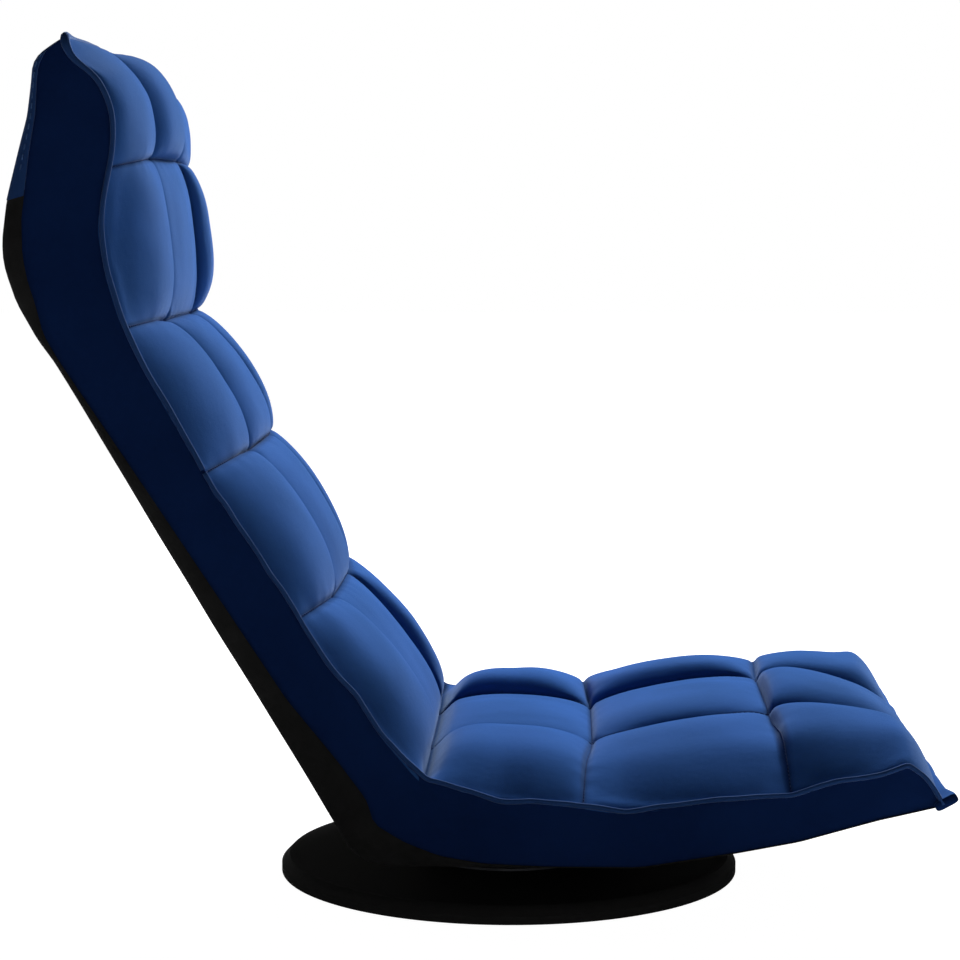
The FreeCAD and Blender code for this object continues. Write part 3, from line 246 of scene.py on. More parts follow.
def hash_noise(x, y, seed):
    """Smooth noise from -1 to 1: a few sine waves of mixed direction and phase added up."""
    r = np.random.default_rng(seed)
    total = np.zeros(np.broadcast(x, y).shape)
    for _ in range(9):
        a, b, phase = r.normal(), r.normal(), r.uniform(0, 2 * math.pi)
        total = total + np.sin(a * x + b * y + phase)
    return total / 4.0


# The quilted pad

def dense(start, stop, marks, step, near):
    """Grid lines from start to stop, closer together near the marks: spacing shrinks to a third beside a
    mark."""
    fine = np.linspace(start, stop, 4000)
    gap = np.min(np.abs(fine[:, None] - np.asarray(marks)[None, :]), axis=1)
    density = 1.0 + 1.6 * np.exp(-(gap / near) ** 2)
    total = np.concatenate([[0], np.cumsum((density[1:] + density[:-1]) / 2 * np.diff(fine))])
    count = int(round(total[-1] / step))
    lines = np.interp(np.linspace(0, total[-1], count + 1), total, fine)
    for m in marks:
        if start <= m <= stop:
            lines[np.argmin(np.abs(lines - m))] = m
    return lines


ACROSS = dense(-HALF_WIDTH, HALF_WIDTH, [-HALF_WIDTH, -COLUMN_SEAM, COLUMN_SEAM, HALF_WIDTH], 5.4, 14)


def row_lines(first, last):
    """Row positions of the grid between two row seams, closer together near each seam."""
    return dense(first, last, list(range(first, last + 1)), 0.043, 0.09)


def pad_base(u, y):
    """The pad without stuffing: straight chords between the row seams on the column seams, falling to the
    edge line across the side columns."""
    y2 = np.broadcast_to(y, (len(u), len(y)))
    t = np.clip((np.abs(y2) - COLUMN_SEAM) / (HALF_WIDTH - COLUMN_SEAM), 0, 1)
    inner = np.stack([np.interp(u, np.arange(ROWS + 1), SEAM_ON_COLUMN[:, k]) for k in (0, 1)], -1)
    sink = 2.4 * row_normals(u)[0]
    right, left = ((edge_line(u, side) - sink)[:, None, :] for side in (-1, 1))
    outer = np.where(y[None, :, None] < 0, right, left)
    xz = inner[:, None, :] * (1 - t[..., None]) + outer * t[..., None]
    return np.stack([xz[..., 0], y2, xz[..., 1]], -1), t


def row_normals(u):
    """Unit direction out of each row, square to its chord and leaning towards the neighbour's near a seam,
    and the row's number."""
    chord = np.diff(SEAM_ON_COLUMN, axis=0)
    chord = chord / np.linalg.norm(chord, axis=1)[:, None]
    out = np.stack([-chord[:, 1], chord[:, 0]], 1)
    row = np.clip(np.floor(u).astype(int), 0, ROWS - 1)
    a = np.clip(u - row, 0, 1)
    other = np.clip(np.where(a < 0.5, row - 1, row + 1), 0, ROWS - 1)
    share = 0.5 * np.abs(2 * a - 1)[:, None] ** 3
    mixed = out[row] * (1 - share) + out[other] * share
    return mixed / np.linalg.norm(mixed, axis=1)[:, None], row


def smooth(x, low, high):
    """Rises from 0 at low to 1 at high as 3t squared less 2t cubed."""
    s = np.clip((x - low) / (high - low), 0, 1)
    return s * s * (3 - 2 * s)


def stuffing(u, y, t):
    """Height of the stuffing: rise of the row times a blunt arch along the row times an arch across the
    column. The arch leans towards the lower seam of a row on the back. The column seams keep 0.3 of the
    height, and on the side columns the row seams keep a share that grows towards the piping."""
    _, row = row_normals(u)
    a = np.clip(u - row, 0, 1)
    warped = a ** np.array(LEAN)[row]
    along = np.clip(1 - np.abs(2 * warped - 1) ** 2.2, 0, 1) ** np.interp(warped, [0.3, 0.7], [0.42, 0.52])
    tt = t[0]
    keep = np.where(warped < 0.5, np.array(SEAM_KEEP)[row], np.array(SEAM_KEEP)[row + 1])
    keep = keep[:, None] * smooth(tt, 0.08, 0.6)[None, :]
    keep = np.where((y > 0)[None, :] & (row < CREASE_ROW)[:, None], 0.3 * keep, keep)
    along = along[:, None] + (1 - along[:, None]) * keep
    inside = np.abs(y) < COLUMN_SEAM
    middle = COLUMN_KEEP + (1 - COLUMN_KEEP) * np.clip(1 - np.abs(y / COLUMN_SEAM) ** 2.3, 0, 1) ** 0.62
    right_half = (y < 0)[None, :]
    peak = np.where(right_half, np.interp(u, np.arange(ROWS) + 0.5, PEAK_RIGHT)[:, None],
                    np.interp(u, np.arange(ROWS) + 0.5, PEAK_LEFT)[:, None])
    inner_arc = COLUMN_KEEP + (1 - COLUMN_KEEP) * np.clip(1 - np.abs(1 - tt / peak) ** 2.3, 0, 1) ** 0.62
    round_out = np.interp(u, [0.6, 1.2], [0.60, 0.88])[:, None]
    outer_arc = np.clip(1 - np.clip((tt - peak) / (1 - peak), 0, 1) ** 2.0, 0, 1) ** round_out
    side = np.where(tt < peak, inner_arc, outer_arc)
    side_rise = np.where(right_half, np.array(RISE_RIGHT)[row][:, None], np.array(RISE_LEFT)[row][:, None])
    centre_rise = np.array(RISE_MIDDLE)[row][:, None]
    share = smooth(np.abs(y), 40, COLUMN_SEAM)[None, :]
    centre = centre_rise * middle[None, :] + share * COLUMN_KEEP * (side_rise - centre_rise)
    rise = np.where(inside[None, :], centre, side_rise * side)
    return rise * along, a


def quilt_points(u, y, fill=1.0, seed=5):
    """The stuffed pad: base plus stuffing along the row's outward direction, with small puckers along every
    seam and soft hollows and creases in the velvet."""
    base, t = pad_base(u, y)
    out, _ = row_normals(u)
    height, a = stuffing(u, y, t)
    u2, y2 = np.meshgrid(u, y, indexing="ij")
    run = np.concatenate([[0], np.cumsum(np.linalg.norm(np.diff(SEAM_ON_COLUMN, axis=0), axis=1))])
    s2 = np.interp(u2, np.arange(ROWS + 1), run)
    from_row = np.minimum(a, 1 - a)[:, None] * ROW_LENGTH
    near_row = np.exp(-(from_row / 10) ** 2)
    near_column = np.exp(-(np.abs(np.abs(y2) - COLUMN_SEAM) / 9) ** 2)
    near_edge = np.exp(-((HALF_WIDTH - np.abs(y2)) / 15) ** 2)
    wave_row = np.sin(y2 / 4.3 + 3 * hash_noise(y2 / 38, u2 * 1.3, seed))
    wave_row = wave_row * (0.5 + 0.5 * hash_noise(y2 / 30, u2, seed + 1))
    wave_column = np.sin(s2 / 4.8 + 3 * hash_noise(s2 / 40, y2 / 90, seed + 2))
    wave_column = wave_column * (0.5 + 0.5 * hash_noise(s2 / 33, y2 / 70, seed + 3))
    pucker = 0.40 * near_row * wave_row + 0.30 * near_column * wave_column + 0.45 * near_edge * wave_column
    still = np.clip(height / 6.0, 0, 1)
    soft = 0.8 * hash_noise(s2 / 34, y2 / 30, seed + 4) + 0.3 * hash_noise(s2 / 15, y2 / 17, seed + 5)
    from_crossing = from_row ** 2 + (np.abs(y2) - COLUMN_SEAM) ** 2
    inside = (u > 0.5) & (u < ROWS - 0.5)
    pinch = -2.2 * np.exp(-from_crossing / 60) * inside[:, None]
    from_crease = (u2 - CREASE_ROW) * ROW_LENGTH
    pinch = pinch - 9 * np.exp(-(from_crease / 5) ** 2) * (1 - smooth(t, 0.8, 1.0))
    height = height * fill + (pucker + soft * np.clip(height / 20, 0, 1)) * still + pinch
    points = base.copy()
    points[..., 0] += out[:, 0][:, None] * height
    points[..., 2] += out[:, 1][:, None] * height
    return points


def stuffed(points, pinned):
    """Cloth simulation of the velvet over the stuffing: pinned on the seams and pushed out from below. The
    shift is kept within 1.2 mm and softened by averaging each point with its four neighbours, since the pads
    are smooth."""
    rows, columns = points.shape[:2]
    flat = points.reshape(-1, 3)
    cloth_piece = mesh_object("cloth_trial", flat, grid_faces(rows, columns))
    group = cloth_piece.vertex_groups.new(name="sewn")
    group.add([int(i) for i in np.flatnonzero(pinned.ravel())], 1.0, "REPLACE")
    cloth = cloth_piece.modifiers.new("cloth", "CLOTH")
    s = cloth.settings
    s.quality = 5
    s.mass = 0.25
    s.tension_stiffness = s.compression_stiffness = 12
    s.shear_stiffness = 6
    s.bending_stiffness = 2.0
    s.use_pressure = True
    s.uniform_pressure_force = 3.0
    s.vertex_group_mass = "sewn"
    s.pin_stiffness = 1
    s.shrink_min = 0.0
    s.effector_weights.gravity = 0
    cloth.collision_settings.use_collision = False
    cloth.point_cache.frame_start, cloth.point_cache.frame_end = 1, CLOTH_FRAMES
    scene = bpy.context.scene
    for number in range(1, CLOTH_FRAMES + 1):
        scene.frame_set(number)
    shape = cloth_piece.evaluated_get(bpy.context.evaluated_depsgraph_get()).to_mesh()
    moved = np.empty(len(shape.vertices) * 3)
    shape.vertices.foreach_get("co", moved)
    cloth_piece.evaluated_get(bpy.context.evaluated_depsgraph_get()).to_mesh_clear()
    scene.frame_set(1)
    bpy.data.objects.remove(cloth_piece, do_unlink=True)
    shift = (moved.reshape(-1, 3) / MM - flat).reshape(points.shape)
    for _ in range(12):
        p = np.pad(shift, ((1, 1), (1, 1), (0, 0)), mode="edge")
        shift = 0.4 * shift + 0.15 * (p[:-2, 1:-1] + p[2:, 1:-1] + p[1:-1, :-2] + p[1:-1, 2:])
        shift[pinned] = 0
    far = np.linalg.norm(shift, axis=2, keepdims=True)
    return points + shift * SHIFT_LIMIT * np.tanh(far / SHIFT_LIMIT) / np.maximum(far, NEAR_ZERO)


def quilt(name, first, last, seed):
    """One stretch of the quilted pad between two row seams: the stuffed top, and a flat underside 6 mm
    below the edge line that closes it."""
    u = row_lines(first, last)
    y = ACROSS
    top = quilt_points(u, y, 0.98, seed)
    a = np.abs(u[:, None] - np.round(u)[:, None])
    seam = (a < NEAR_ZERO) | (np.abs(np.abs(y)[None, :] - HALF_WIDTH) < NEAR_ZERO)
    column = np.abs(np.abs(y)[None, :] - COLUMN_SEAM) < NEAR_ZERO
    top = stuffed(top, seam | (column & np.ones_like(seam)))
    rows, columns = top.shape[:2]
    out, _ = row_normals(np.clip(u, first + NEAR_ZERO, last - NEAR_ZERO))
    depth = (8 + 16 * np.exp(-((u - CREASE_ROW) * ROW_LENGTH / 25) ** 2))[:, None]
    feet = [edge_line(u, side) - depth * out for side in (-1, 1)]
    left, right = [np.stack([foot[:, 0], np.full(rows, side * (HALF_WIDTH - 1.5)), foot[:, 1]], -1)
                   for foot, side in zip(feet, (-1, 1))]
    points = np.concatenate([top.reshape(-1, 3), left, right])
    n = rows * columns
    i = np.arange(rows - 1)
    under = np.stack([n + i, n + i + 1, n + rows + i + 1, n + rows + i], -1)
    side_left = np.stack([i * columns, (i + 1) * columns, n + i + 1, n + i], -1)
    side_right = np.stack([i * columns + columns - 1, n + rows + i, n + rows + i + 1,
                           (i + 1) * columns + columns - 1], -1)
    end_first = list(range(columns)) + [n + rows, n]
    end_last = [(rows - 1) * columns + k for k in range(columns)][::-1] + [n + rows - 1, n + 2 * rows - 1]
    quads = np.concatenate([grid_faces(rows, columns), under, side_left, side_right])
    obj = outward(mesh_object(name, points, quads, [end_first, end_last]))
    keep_end_edges(obj, [set(end_first), set(end_last)])
    # Painted shade: a darkness from 0 to 1 along the row seams, full on the crease row, and 0.7 along the
    # column seams, stored on the points so that the velvet darkens its colour where the seam valleys lie in
    # shade.
    strength = np.where(np.round(u) == CREASE_ROW, 1.0, 0.7)[:, None]
    shadow = np.exp(-(a * ROW_LENGTH / 2.2) ** 2) * strength
    shadow = np.maximum(shadow, 0.7 * np.exp(-((np.abs(y) - COLUMN_SEAM) / 2.2) ** 2)[None, :])
    seam_shade_layer = obj.data.attributes.new("painted_seam_shade", "FLOAT", "POINT")
    seam_shade_layer.data.foreach_set("value", np.concatenate([shadow.ravel(), np.zeros(2 * rows)]).astype(np.float32))
    return subdivided(obj), top, u


def keep_end_edges(obj, ends):
    """Keeps the outline of both end faces crisp, so that two neighbouring stretches meet without a
    groove."""
    mesh = obj.data
    crease = mesh.attributes.new("crease_edge", "FLOAT", "EDGE")
    sharp = mesh.attributes.new("sharp_edge", "BOOLEAN", "EDGE")
    for i, edge in enumerate(mesh.edges):
        a, b = edge.vertices
        if any(a in end and b in end for end in ends):
            crease.data[i].value = 1.0
            sharp.data[i].value = True


# Tubes of cloth: piping and thread

def tube(name, path, radius, sides=10, wobble=0.0, seed=1):
    """A round tube along a path of points: rings square to the path, kept level by carrying the frame along
    it, with the radius and place wandering a little."""
    p = np.asarray(path, float)
    tangent = np.gradient(p, axis=0)
    tangent /= np.linalg.norm(tangent, axis=1)[:, None]
    normal = np.empty_like(p)
    start = np.cross(tangent[0], [0.3, 0.9, 0.2])
    normal[0] = start / np.linalg.norm(start)
    for i in range(1, len(p)):
        v = normal[i - 1] - tangent[i] * np.dot(normal[i - 1], tangent[i])
        normal[i] = v / np.linalg.norm(v)
    second = np.cross(tangent, normal)
    angle = np.linspace(0, 2 * math.pi, sides, endpoint=False)
    s = length_along(p)
    r = np.asarray(radius) * (1 + wobble * hash_noise(s / 9, s * 0, seed))
    cosine, sine = np.cos(angle)[None, :, None], np.sin(angle)[None, :, None]
    ring = cosine * normal[:, None, :] + sine * second[:, None, :]
    points = p[:, None, :] + ring * r[:, None, None]
    rows = len(p)
    quads = grid_faces(rows, sides, closed=True)
    flat = points.reshape(-1, 3)
    caps = [list(range(sides)), [(rows - 1) * sides + k for k in range(sides)][::-1]]
    return outward(mesh_object(name, flat, quads, caps))


def softened(top):
    """The grid as one smooth subdivision leaves its points: 9/16 of the point, 3/32 of each neighbour
    beside it and 1/64 of each neighbour across the corner."""
    p = np.pad(top, ((1, 1), (1, 1), (0, 0)), mode="edge")
    middle = p[1:-1, 1:-1]
    beside = p[:-2, 1:-1] + p[2:, 1:-1] + p[1:-1, :-2] + p[1:-1, 2:]
    corner = p[:-2, :-2] + p[:-2, 2:] + p[2:, :-2] + p[2:, 2:]
    return middle * 9 / 16 + beside * 3 / 32 + corner / 64


def stitches(name, lines, length=3.4, pitch=4.7, radius=0.5):
    """Thread along the seams: small round-ended stitches laid one after another on each line of points."""
    rings = np.array([(-1.0, 0.0), (-0.93, 0.6), (-0.75, 1.0), (0.75, 1.0), (0.93, 0.6), (1.0, 0.0)])
    angle = np.linspace(0, 2 * math.pi, 6, endpoint=False)
    points, quads, count = [], [], 0
    for line in lines:
        s = length_along(line)
        for start in np.arange(pitch, s[-1] - pitch - length, pitch):
            ends = (start, start + length)
            a, b = (np.array([np.interp(end, s, line[:, k]) for k in range(3)]) for end in ends)
            run = (b - a) / np.linalg.norm(b - a)
            first = np.cross(run, [0.31, 0.53, 0.79])
            first /= np.linalg.norm(first)
            second = np.cross(run, first)
            for place, share in rings[1:-1]:
                middle = (a + b) / 2 + run * place * length / 2
                ring = np.cos(angle)[:, None] * first + np.sin(angle)[:, None] * second
                points.append(middle + radius * share * ring)
            quads.append(grid_faces(4, 6, closed=True) + count)
            count += 24
    flat = np.concatenate(points)
    caps = [[k * 24 + j for j in range(6)][::-1] for k in range(count // 24)]
    caps += [[k * 24 + 18 + j for j in range(6)] for k in range(count // 24)]
    return outward(mesh_object(name, flat, np.concatenate(quads), caps))


def seam_lines(top, rows, lowest, highest):
    """Lines along the row seams from lowest to highest and along both column seams of a pad, lifted a
    little out of the valley."""
    skin = softened(top)
    out = row_normals(np.clip(rows, rows[0] + NEAR_ZERO, rows[-1] - NEAR_ZERO))[0]
    skin = skin + 0.40 * np.stack([out[:, 0], out[:, 0] * 0, out[:, 1]], -1)[:, None, :]
    on_seam = np.flatnonzero(np.abs(rows - np.round(rows)) < NEAR_ZERO)
    lines = [skin[i] for i in on_seam if lowest <= rows[i] <= highest + NEAR_ZERO]
    lines += [skin[:, int(np.argmin(np.abs(ACROSS - y)))] for y in (-COLUMN_SEAM, COLUMN_SEAM)]
    return lines


def edge_path(first, last, side, step=3.0, seed=3):
    """The piping's line on one side between two row seams: the edge line just outside the panel, wandering
    by about a millimetre; on the left side it is pulled 3 mm lower."""
    lift = -0.6 if side < 0 else -3.6
    u = np.linspace(first, last, 4000)
    line = edge_line(u, side)
    s = length_along(line)
    even = np.linspace(0, s[-1], int(s[-1] / step) + 1)
    x, z = (np.interp(even, s, line[:, k]) for k in (0, 1))
    run = even + length_along(edge_line(np.linspace(0, first, 4000), side))[-1]
    d = np.gradient(np.stack([x, z], 1), axis=0)
    d /= np.linalg.norm(d, axis=1)[:, None]
    out = np.stack([-d[:, 1], d[:, 0]], 1)
    here = run * 0 + side
    sway = 0.9 * hash_noise(run / 24, here, seed) + 0.35 * hash_noise(run / 9, here, seed + 1)
    x, z = x + out[:, 0] * (lift + sway), z + out[:, 1] * (lift + sway)
    y = side * (HALF_WIDTH + 0.6 + 0.5 * hash_noise(run / 17, here, seed + 2))
    return np.stack([x, y, z], 1)


# Side panels and rear covers

def side_panel(name, first, last, side, seed):
    """The cloth between the piping and the lower seam: a grid from the edge line down to the seam, swelling
    3 mm outward in the middle, with soft folds, and 2.5 mm thick."""
    u = dense(first, last, list(range(first, last + 1)), 0.05, 0.05)
    v = np.linspace(0, 1, 34)
    upper, lower = edge_line(u, side), at_row(PANEL_SEAM, PANEL_MARKS, u)
    if side > 0:
        upper = upper - 3.0 * row_normals(u)[0]
        lower = lower - far_corner(u, HALF_WIDTH)[:, None] * [0, 1]
    line = upper[:, None, :] * (1 - v)[None, :, None] + lower[:, None, :] * v[None, :, None]
    u2, v2 = np.meshgrid(u, v, indexing="ij")
    width = np.linalg.norm(lower - upper, axis=1)[:, None]
    swell = 2.6 * (np.clip(4 * v2 * (1 - v2), 0, 1) ** 0.7) * np.clip(width / 60, 0.2, 1)
    folds = 1.5 * hash_noise(u2 * 3.1, v2 * 2.2, seed) + 0.8 * hash_noise(u2 * 9.0, v2 * 3.0, seed + 1)
    pucker = 0.4 * np.sin(u2 * 62 + 3 * hash_noise(u2 * 4, v2, seed + 2)) * np.exp(-(v2 * width / 9) ** 2)
    quiet = np.clip(np.minimum(v2, 1 - v2) * width / 5, 0, 1)
    y = side * (HALF_WIDTH - 1.2 + swell * 0.8 + (folds * 0.8 + pucker) * quiet * 0.9)
    outer = np.stack([line[..., 0], y, line[..., 1]], -1)
    inner = outer * [1, 0, 1] + np.array([0, 1, 0]) * (outer[..., 1:2] - side * PANEL_THICK)
    return closed_sheet(name, outer, inner)


def closed_sheet(name, outer, inner):
    """Two matching grids joined round their borders into one closed sheet."""
    rows, columns = outer.shape[:2]
    n = rows * columns
    quads = grid_faces(rows, columns)
    back = quads[:, ::-1] + n
    border = np.concatenate([np.arange(columns), columns - 1 + columns * np.arange(1, rows),
                             (rows - 1) * columns + np.arange(columns - 2, -1, -1),
                             columns * np.arange(rows - 2, 0, -1)])
    after = np.roll(border, -1)
    rim = np.stack([border, border + n, after + n, after], -1)
    points = np.concatenate([outer.reshape(-1, 3), inner.reshape(-1, 3)])
    obj = outward(mesh_object(name, points, np.concatenate([quads, back, rim])))
    pairs = {tuple(sorted(p)) for a in (0, n) for p in zip((border + a).tolist(), (after + a).tolist())}
    sharp = obj.data.attributes.new("sharp_edge", "BOOLEAN", "EDGE")
    for i, edge in enumerate(obj.data.edges):
        sharp.data[i].value = tuple(sorted(edge.vertices)) in pairs
    return obj


def rear_cover(name, first, last, seed, inset=0.0):
    """The cloth behind and under: straight across at the rear line, turned round the side edge by a quarter
    ellipse up to the panel's lower seam, slack by a few millimetres between."""
    u = dense(first, last, [math.floor(first), math.ceil(last)], 0.05, 0.05)
    seam, rear = at_row(PANEL_SEAM, PANEL_MARKS, u), at_row(REAR, REAR_MARKS, u)
    d = np.gradient(rear, axis=0)
    d /= np.linalg.norm(d, axis=1)[:, None]
    out = np.stack([d[:, 1], -d[:, 0]], 1)
    turn = np.linspace(0, math.pi / 2, 9)
    flat_half = HALF_WIDTH - 9.0
    flat = np.linspace(-1, 1, 61)
    left = -(flat_half + 9.6 * np.sin(turn[::-1]))
    y = np.concatenate([left[:-1], flat * flat_half, -left[::-1][1:]])
    share = np.concatenate([np.cos(turn[::-1])[:-1], np.ones(61), np.cos(turn)[1:]])
    line = seam[:, None, :] + (rear - seam)[:, None, :] * share[None, :, None]
    u2, y2 = np.meshgrid(u, y, indexing="ij")
    line = line - far_corner(u2, y2)[..., None] * [0, 1]
    slack = 1.2 * hash_noise(u2 * 2.4, y2 / 80, seed) + 0.6 * hash_noise(u2 * 7, y2 / 40, seed + 1)
    slack = np.clip(slack + 1.0, -0.2, 3) * np.clip(share, 0, 1)[None, :] ** 4
    slack = slack * np.clip(1 - np.abs(y2) / HALF_WIDTH, 0, 1) ** 0.25 - inset
    out_x, out_z = out[:, 0][:, None], out[:, 1][:, None]
    outer = np.stack([line[..., 0] + out_x * slack, y2, line[..., 1] + out_z * slack], -1)
    inner = np.stack([line[..., 0] - COVER_THICK * out_x * share[None, :], y2 * (1 - 2.0 / HALF_WIDTH),
                      line[..., 1] - COVER_THICK * out_z * share[None, :]], -1)
    return closed_sheet(name, outer, inner)


# Materials

def shade(value):
    """One sRGB channel value from 0 to 255 as linear light: ((c + 0.055) / 1.055) to the power 2.4."""
    c = value / 255
    return c / 12.92 if c <= 0.04045 else ((c + 0.055) / 1.055) ** 2.4


def colour(r, g, b):
    """An sRGB colour as a linear colour with full cover."""
    return (shade(r), shade(g), shade(b), 1.0)


class Finish:
    """A material being put together: keeps the node tree and joins sockets by name."""

    def __init__(self, name):
        self.material = bpy.data.materials.new(name)
        self.material.use_nodes = True
        self.tree = self.material.node_tree
        self.shader = self.tree.nodes["Principled BSDF"]
        self.place = self.node("ShaderNodeTexCoord").outputs["Object"]

    def node(self, kind, **values):
        """Adds a node and sets its inputs, or else its own properties, by name."""
        n = self.tree.nodes.new(kind)
        for key, value in values.items():
            if key in n.inputs:
                n.inputs[key].default_value = value
            else:
                setattr(n, key, value)
        return n

    def join(self, a, b):
        """Links an output to an input."""
        self.tree.links.new(a, b)

    def set(self, **values):
        """Sets inputs of the shader by name, with a low line for each space."""
        for key, value in values.items():
            self.shader.inputs[key.replace("_", " ")].default_value = value
        return self

    def stretched(self, scale):
        """Object coordinates times a scale for each axis."""
        n = self.node("ShaderNodeMapping")
        n.inputs["Scale"].default_value = scale
        self.join(self.place, n.inputs["Vector"])
        return n.outputs["Vector"]

    def noise(self, scale, detail=2.0, rough=0.5):
        """Noise on the object's own coordinates."""
        n = self.node("ShaderNodeTexNoise")
        n.inputs["Scale"].default_value = scale
        n.inputs["Detail"].default_value = detail
        n.inputs["Roughness"].default_value = rough
        self.join(self.place, n.inputs["Vector"])
        return n.outputs["Fac"]

    def ramp(self, factor, stops):
        """Turns a factor into a colour through stops of place and colour."""
        n = self.node("ShaderNodeValToRGB")
        band = n.color_ramp
        while len(band.elements) < len(stops):
            band.elements.new(0.5)
        for element, (place, value) in zip(band.elements, stops):
            element.position = place
            element.color = value
        self.join(factor, n.inputs["Fac"])
        return n.outputs["Color"]

    def bump(self, height, strength, distance, before=None):
        """Bends the normal by a height, on top of an earlier bump where one is given."""
        n = self.node("ShaderNodeBump")
        n.inputs["Strength"].default_value = strength
        n.inputs["Distance"].default_value = distance
        self.join(height, n.inputs["Height"])
        if before is not None:
            self.join(before, n.inputs["Normal"])
        return n.outputs["Normal"]


def velvet(name, dark, light, sheen, seed):
    """Cut-pile velvet: colour drifts in soft patches where the pile leans, painted shade darkens it along the
    seams and the crease, a fine grain of pile ends, and a sheen that lights up where the surface turns away."""
    f = Finish(name)
    f.set(Roughness=0.85, Sheen_Weight=sheen[0], Sheen_Roughness=sheen[1], Specular_IOR_Level=0.0)
    f.shader.inputs["Sheen Tint"].default_value = sheen[2]
    patches = f.noise(9.0 + seed, 3.0, 0.55)
    # Painted shade: the seam layer mixes the colour down to a fifth of the dark colour along the seams and
    # the crease.
    seam_shade_layer = f.node("ShaderNodeAttribute", attribute_name="painted_seam_shade")
    seam_shade_mix = f.node("ShaderNodeMix", data_type="RGBA")
    f.join(seam_shade_layer.outputs["Fac"], seam_shade_mix.inputs[0])
    f.join(f.ramp(patches, [(0.3, dark), (0.7, light)]), seam_shade_mix.inputs[6])
    seam_shade_mix.inputs[7].default_value = tuple(0.2 * v for v in dark[:3]) + (1.0,)
    f.join(seam_shade_mix.outputs[2], f.shader.inputs["Base Color"])
    pile = f.noise(1500.0, 2.0, 0.6)
    soft = f.bump(f.noise(160.0, 2.0, 0.5), 0.25, 0.0006)
    f.join(f.bump(pile, 0.35, 0.0004, soft), f.shader.inputs["Normal"])
    return f.material


def woven(name, dark, light, rough, pitch, depth):
    """Plain weave: two sets of threads as sine bands crossing, with slow colour drift."""
    f = Finish(name)
    f.set(Roughness=rough, Specular_IOR_Level=0.02, Sheen_Weight=0.02, Sheen_Roughness=0.5)
    heights = []
    for axis in ("X", "Y", "Z"):
        w = f.node("ShaderNodeTexWave", wave_type="BANDS", bands_direction=axis)
        w.inputs["Scale"].default_value = pitch
        w.inputs["Distortion"].default_value = 0.4
        f.join(f.place, w.inputs["Vector"])
        heights.append(w.outputs["Fac"])
    add = f.node("ShaderNodeMath", operation="ADD")
    f.join(heights[0], add.inputs[0])
    f.join(heights[1], add.inputs[1])
    more = f.node("ShaderNodeMath", operation="ADD")
    f.join(add.outputs[0], more.inputs[0])
    f.join(heights[2], more.inputs[1])
    drift = f.noise(30.0, 3.0, 0.6)
    f.join(f.ramp(drift, [(0.3, dark), (0.7, light)]), f.shader.inputs["Base Color"])
    f.join(f.bump(more.outputs[0], 0.5, depth), f.shader.inputs["Normal"])
    return f.material


def painted(name, dark, light, rough, grain, depth, metal=0.0):
    """Paint, lacquer, rubber or plate: slow colour drift, uneven gloss and a fine grain."""
    f = Finish(name)
    f.set(Metallic=metal, Specular_IOR_Level=0.5 if metal else 0.01)
    drift = f.noise(22.0, 4.0, 0.6)
    f.join(f.ramp(drift, [(0.3, dark), (0.7, light)]), f.shader.inputs["Base Color"])
    low, high = ((rough + change,) * 3 + (1,) for change in (-0.07, 0.07))
    gloss = f.ramp(f.noise(60.0, 5.0, 0.65), [(0.3, low), (0.7, high)])
    f.join(gloss, f.shader.inputs["Roughness"])
    f.join(f.bump(f.noise(grain, 3.0, 0.55), 0.4, depth), f.shader.inputs["Normal"])
    return f.material


blue_velvet = velvet("royal_blue_velvet", colour(44, 84, 146), colour(52, 94, 164),
                     (0.16, 0.30, (0.50, 0.68, 1.0, 1.0)), 0)
# Painted shade: the side panels, the hem's ends and underside and the other soft nodes get this darker copy
# of the blue velvet, standing for the shade on faces turned away from the key light.
velvet_with_painted_side_shade = velvet("side_panel_velvet_painted_shade", colour(19, 42, 90), colour(23, 48, 100),
                     (0.04, 0.40, (0.3, 0.5, 1.0, 1.0)), 2)
piping_velvet = velvet("piping_velvet", colour(42, 72, 126), colour(48, 80, 138),
                       (0.40, 0.35, (0.55, 0.70, 1.0, 1.0)), 1)
black_cloth = woven("black_rear_cloth", colour(38, 38, 38), colour(48, 48, 48), 0.95, 700.0, 0.0003)


def disc_lacquer_painted_rim_light():
    """The disc's matt black lacquer with a painted highlight along its rim: the distance from the middle
    mixes the black top into a paler grey rim."""
    f = Finish("black_disc_lacquer")
    f.set(Roughness=0.85, Specular_IOR_Level=0.01)
    flat = f.stretched((4.0, 4.0, 0.0))
    far = f.node("ShaderNodeVectorMath", operation="LENGTH")
    f.join(flat, far.inputs[0])
    drift = f.noise(22.0, 4.0, 0.6)
    add = f.node("ShaderNodeMath", operation="MULTIPLY_ADD")
    f.join(drift, add.inputs[0])
    add.inputs[1].default_value = 0.02
    f.join(far.outputs["Value"], add.inputs[2])
    # Painted highlight: paler grey beyond 0.19 m from the middle, where the rim is.
    rim_highlight_stops = [(0.0, colour(32, 32, 32)), (0.76, colour(34, 34, 34)), (0.80, colour(66, 66, 66))]
    f.join(f.ramp(add.outputs[0], rim_highlight_stops), f.shader.inputs["Base Color"])
    f.join(f.bump(f.noise(900.0, 3.0, 0.55), 0.4, 0.0001), f.shader.inputs["Normal"])
    return f.material


